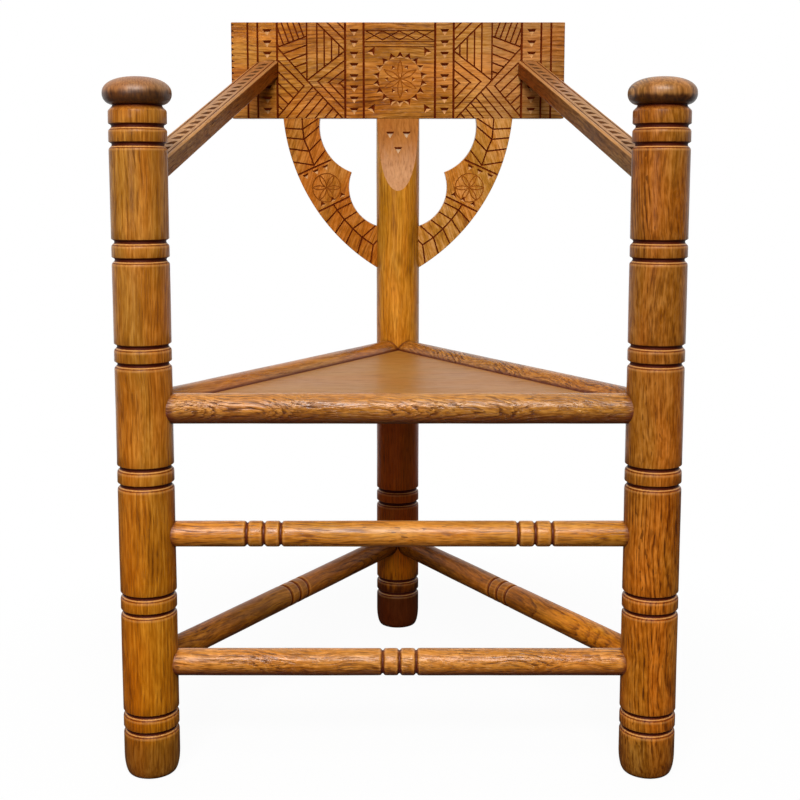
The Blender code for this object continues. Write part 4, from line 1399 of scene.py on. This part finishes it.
def cut_notch(post, scoop):
    """Cut the crest board's place from the rear post, and the facet whose (depth, height) points are
    the scoop."""
    # Painted sheen on the facet's lower part
    tone_and_light_spans = ((FACET_SHEEN_TONE, *(CREST_LOW.z - drop for drop in FACET_SHEEN_FADE)),)
    bare = oak("facet_oak", FACET_TONE, FACET_GRAIN, QUIET, tone_and_light_spans=tone_and_light_spans)
    tip = scoop[-1]
    runout = (tip - scoop[-2]).normalized()
    outline = [
        (REAR_POST_FRONT - NOTCH_PAST, REAR_POST_TOP + NOTCH_PAST),
        (CREST_HIGH.y, REAR_POST_TOP + NOTCH_PAST),
        (CREST_HIGH.y, CREST_LOW.z),
        *scoop,
        tip + runout * NOTCH_PAST,
        (REAR_POST_FRONT - NOTCH_PAST, tip.y),
    ]
    half = POST_RADIUS + NOTCH_PAST
    shape = skinned([[(x, y, z) for y, z in outline] for x in (-half, half)])
    cut_away(post, body_object("notch", shape, [bare]), SMOOTH_ANGLE)


def carve_facet(post, scoop):
    """Chips in the facet, each square to the scoop's slope."""
    carving = Carving(Matrix())
    right = Vector((1, 0, 0))
    for across, drop in FACET_CHIPS:
        height = CREST_LOW.z - drop
        upper, lower = next(pair for pair in zip(scoop, scoop[1:]) if pair[1].y < height)
        spot = upper.lerp(lower, (upper.y - height) / (upper.y - lower.y))
        rise = Vector((0, *(upper - lower).normalized()))
        turn = Matrix((right, rise, right.cross(rise))).transposed().to_4x4()
        carving.matrix = Matrix.Translation((across, *spot)) @ turn
        carving.gouge((0, 0), FACET_CHIP_SIZE, 0.0, FACET_CHIP_HEEL)
    carving.cut(post, cut_finishes("facet", FACET_GRAIN, FACET_CUT_TONE), SMOOTH_ANGLE)


def arm_section():
    """Across, up and stain_and_shade: a rectangle with rubbed upper corners that carry a painted highlight,
    an upper face rubbed paler, partly painted light, and a knife line beside each upper edge.
    """
    half, tall, ease = ARM_WIDTH / 2, ARM_HEIGHT / 2, ARM_BEVEL
    line = half - ARM_LINE_INSET
    right = [
        (half - ease, -tall, 0),
        (half, -tall + ease, 0),
        (half, tall - ease - ARM_EDGE, 0),
        (half, tall - ease, ARM_EDGE_RUB_AND_SHEEN),
        (half - ease, tall, ARM_EDGE_RUB_AND_SHEEN),
        (half - ease - ARM_EDGE / 2, tall, ARM_TOP_RUB_AND_LIGHT),
        (line + ARM_LINE_HALF_WIDTH, tall, ARM_TOP_RUB_AND_LIGHT),
        (line, tall - ARM_LINE_DEPTH, ARM_LINE_STAIN),
        (line - ARM_LINE_HALF_WIDTH, tall, ARM_TOP_RUB_AND_LIGHT),
    ]
    return right + [(-across, up, stain_and_shade) for across, up, stain_and_shade in reversed(right)]


def make_arms():
    for index, (side, sign) in enumerate(SIDES):
        node, grain = side + "_arm", ARM_GRAINS[index]
        front = POSTS[f"front_{side}_post"] + UP * (FRONT_POST_TOP - ARM_FRONT_DROP)
        edge = CREST_HIGH.x if sign > 0 else CREST_LOW.x
        rear = Vector((edge - sign * ARM_REAR_INSET, CREST_FRONT, CREST_LOW.z + ARM_REAR_RISE))
        along = (rear - front).normalized()
        level = along.xy
        matrix = upright_matrix(front, along)
        loops = [[], []]
        for x, y, stain_and_shade in arm_section():
            offset = matrix.to_3x3() @ Vector((x, y, 0))
            half_way = -offset.xy.dot(level) / level.dot(level)
            room = (POST_RADIUS - OVERLAP) ** 2 - (offset.xy + level * half_way).length_squared
            start = half_way + sqrt(room) / level.length
            stop = (CREST_FRONT + OVERLAP - front.y - offset.y) / along.y
            for loop, spot in zip(loops, (start, stop)):
                loop.append((x, y, spot, stain_and_shade))
        # Lighter towards the front post, darker towards the crest board, partly painted shade
        tone_and_light_spans = ((ARM_TONES[index], *ARM_FADE),)
        material = oak(node + "_oak", ARM_REAR_TONE, grain, STROKED, ARM_MARKS, tone_and_light_spans)
        arm = place_piece("carved_" + node, skinned(loops), material, node, matrix)
        carve_arm(arm, matrix @ Matrix.Translation((0, ARM_HEIGHT / 2, 0)), sign, cut_finishes(node, grain))


def carve_arm(arm, top, sign, finishes):
    """A row of slanted nicks between the two knife lines of an arm's upper face, which keeps its paler rub
    and painted light.
    """
    across, outward, along = (top.col[place].to_3d() for place in (0, 1, 2))
    plane = Matrix((along, across, outward)).transposed().to_4x4()
    carving = Carving(Matrix.Translation(top.to_translation()) @ plane)
    inward = 1 if across.x * sign < 0 else -1
    for number in range(ARM_NICK_COUNT):
        spot = ARM_NICK_START + ARM_NICK_PITCH * number
        *outline, deepest = [(spot + run, inward * aside) for run, aside in (*ARM_NICK, ARM_NICK_DEEPEST)]
        carving.pit(outline, deepest, ARM_NICK_DEPTH, None)
    carving.cut(arm, finishes)
    field = ARM_WIDTH / 2 - ARM_LINE_INSET - ARM_LINE_HALF_WIDTH
    for vertex, stain_and_shade in zip(arm.data.vertices, arm.data.attributes["stain_and_shade"].data):
        if abs(vertex.co.x) < field and abs(vertex.co.y - ARM_HEIGHT / 2) < MERGE_DISTANCE:
            stain_and_shade.value = ARM_TOP_RUB_AND_LIGHT


def finish_pins():
    """Pegs and dowels keep their solids, with an oak finish."""
    for index, (name, node) in enumerate(sorted(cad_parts.items())):
        if "peg" in name or "dowel" in name:
            grain = PEG_GRAIN._replace(seed=PEG_GRAIN.seed + index)
            material = oak(name + "_oak", PEG_TONE, grain, QUIET)
            for material_slot in node.material_slots:
                material_slot.material = material


def make_camera():
    data = bpy.data.cameras.new("camera")
    data.sensor_width = SENSOR
    data.lens = FOCAL_PIXELS * SENSOR / FRAME_PIXELS
    data.shift_x = (FRAME_PIXELS / 2 - PRINCIPAL[0]) / FRAME_PIXELS
    data.shift_y = (PRINCIPAL[1] - FRAME_PIXELS / 2) / FRAME_PIXELS
    camera = new_object("camera", data)
    camera.location = CAMERA_PLACE
    camera.rotation_euler = (pi / 2 - CAMERA_PITCH, 0, 0)
    bpy.context.scene.camera = camera


def seen_white(wiring, backdrop):
    """1 where a ray shows the white background: to the camera, and in reflections of the backdrop."""
    path = wiring.node("ShaderNodeLightPath", {}).outputs
    clear = wiring.math("MAXIMUM", path["Is Camera Ray"], path["Is Transmission Ray"])
    return wiring.math("MAXIMUM", clear, wiring.times(path["Is Glossy Ray"], backdrop))


def make_floor():
    """A pale floor: white in the picture apart from a faint shadow, and dim as a source of light."""
    shape = bmesh.new()
    bmesh.ops.create_grid(shape, x_segments=1, y_segments=1, size=FLOOR_REACH)
    mesh = bpy.data.meshes.new("floor")
    shape.to_mesh(mesh)
    shape.free()
    floor = new_object("floor", mesh)
    floor.location.z = -FLOOR_GAP
    wiring = Wiring(bpy.data.materials.new("floor_paint"))
    place = wiring.place()
    seen = seen_white(wiring, wiring.window(wiring.parts(place)["Y"], *BACKDROP_FLOOR))
    near = wiring.rest(wiring.window(wiring.length(place), *SHADOW_FADE))
    dull = wiring.node("ShaderNodeBsdfDiffuse", {"Color": FLOOR_DULL}).outputs[0]
    pale = wiring.node("ShaderNodeBsdfDiffuse", {"Color": FLOOR_PALE}).outputs[0]
    white = wiring.node("ShaderNodeEmission", {"Color": WHITE, "Strength": 1.0}).outputs[0]
    shown = wiring.mix_shaders(wiring.times(near, SHADOW_SHARE), white, pale)
    surface = {"Surface": wiring.mix_shaders(seen, dull, shown)}
    wiring.feed(wiring.tree.nodes["Material Output"], surface)
    wiring.tree.nodes.remove(wiring.shader)
    mesh.materials.append(wiring.owner)


def make_world():
    """White to the camera; as light, a pale backdrop behind the object and a dim room before it."""
    world = bpy.data.worlds.new("studio")
    bpy.context.scene.world = world
    wiring = Wiring(world)
    backdrop = wiring.window(wiring.parts(wiring.place("Generated"))["Y"], *BACKDROP_SPAN)
    glow = wiring.total(ROOM_LIGHT, wiring.times(backdrop, BACKDROP_LIGHT))
    studio = wiring.tree.nodes["Background"]
    wiring.feed(studio, {"Color": ROOM_TINT, "Strength": glow})
    white = wiring.node("ShaderNodeBackground", {"Color": WHITE, "Strength": 1.0})
    shown = wiring.mix_shaders(seen_white(wiring, backdrop), studio.outputs[0], white.outputs[0])
    wiring.feed(wiring.tree.nodes["World Output"], {"Surface": shown})


def make_lamp(name, place, size, power):
    data = bpy.data.lights.new(name, "AREA")
    data.shape = "RECTANGLE"
    data.size, data.size_y = size
    data.energy = power
    data.color = LAMP_TINT
    lamp = new_object(name, data)
    lamp.location = place
    lamp.rotation_euler = (LAMP_TARGET - place).to_track_quat("-Z", "Y").to_euler()


make_camera()
make_floor()
make_world()
for lamp_name, (lamp_place, lamp_size, lamp_power) in LAMPS.items():
    make_lamp(lamp_name, lamp_place, lamp_size, lamp_power)
make_front_posts()
make_rear_post()
make_knobs()
make_bars()
make_seat()
make_crest()
make_brackets()
make_arms()
finish_pins()
bpy.context.scene.view_settings.view_transform = "Standard"
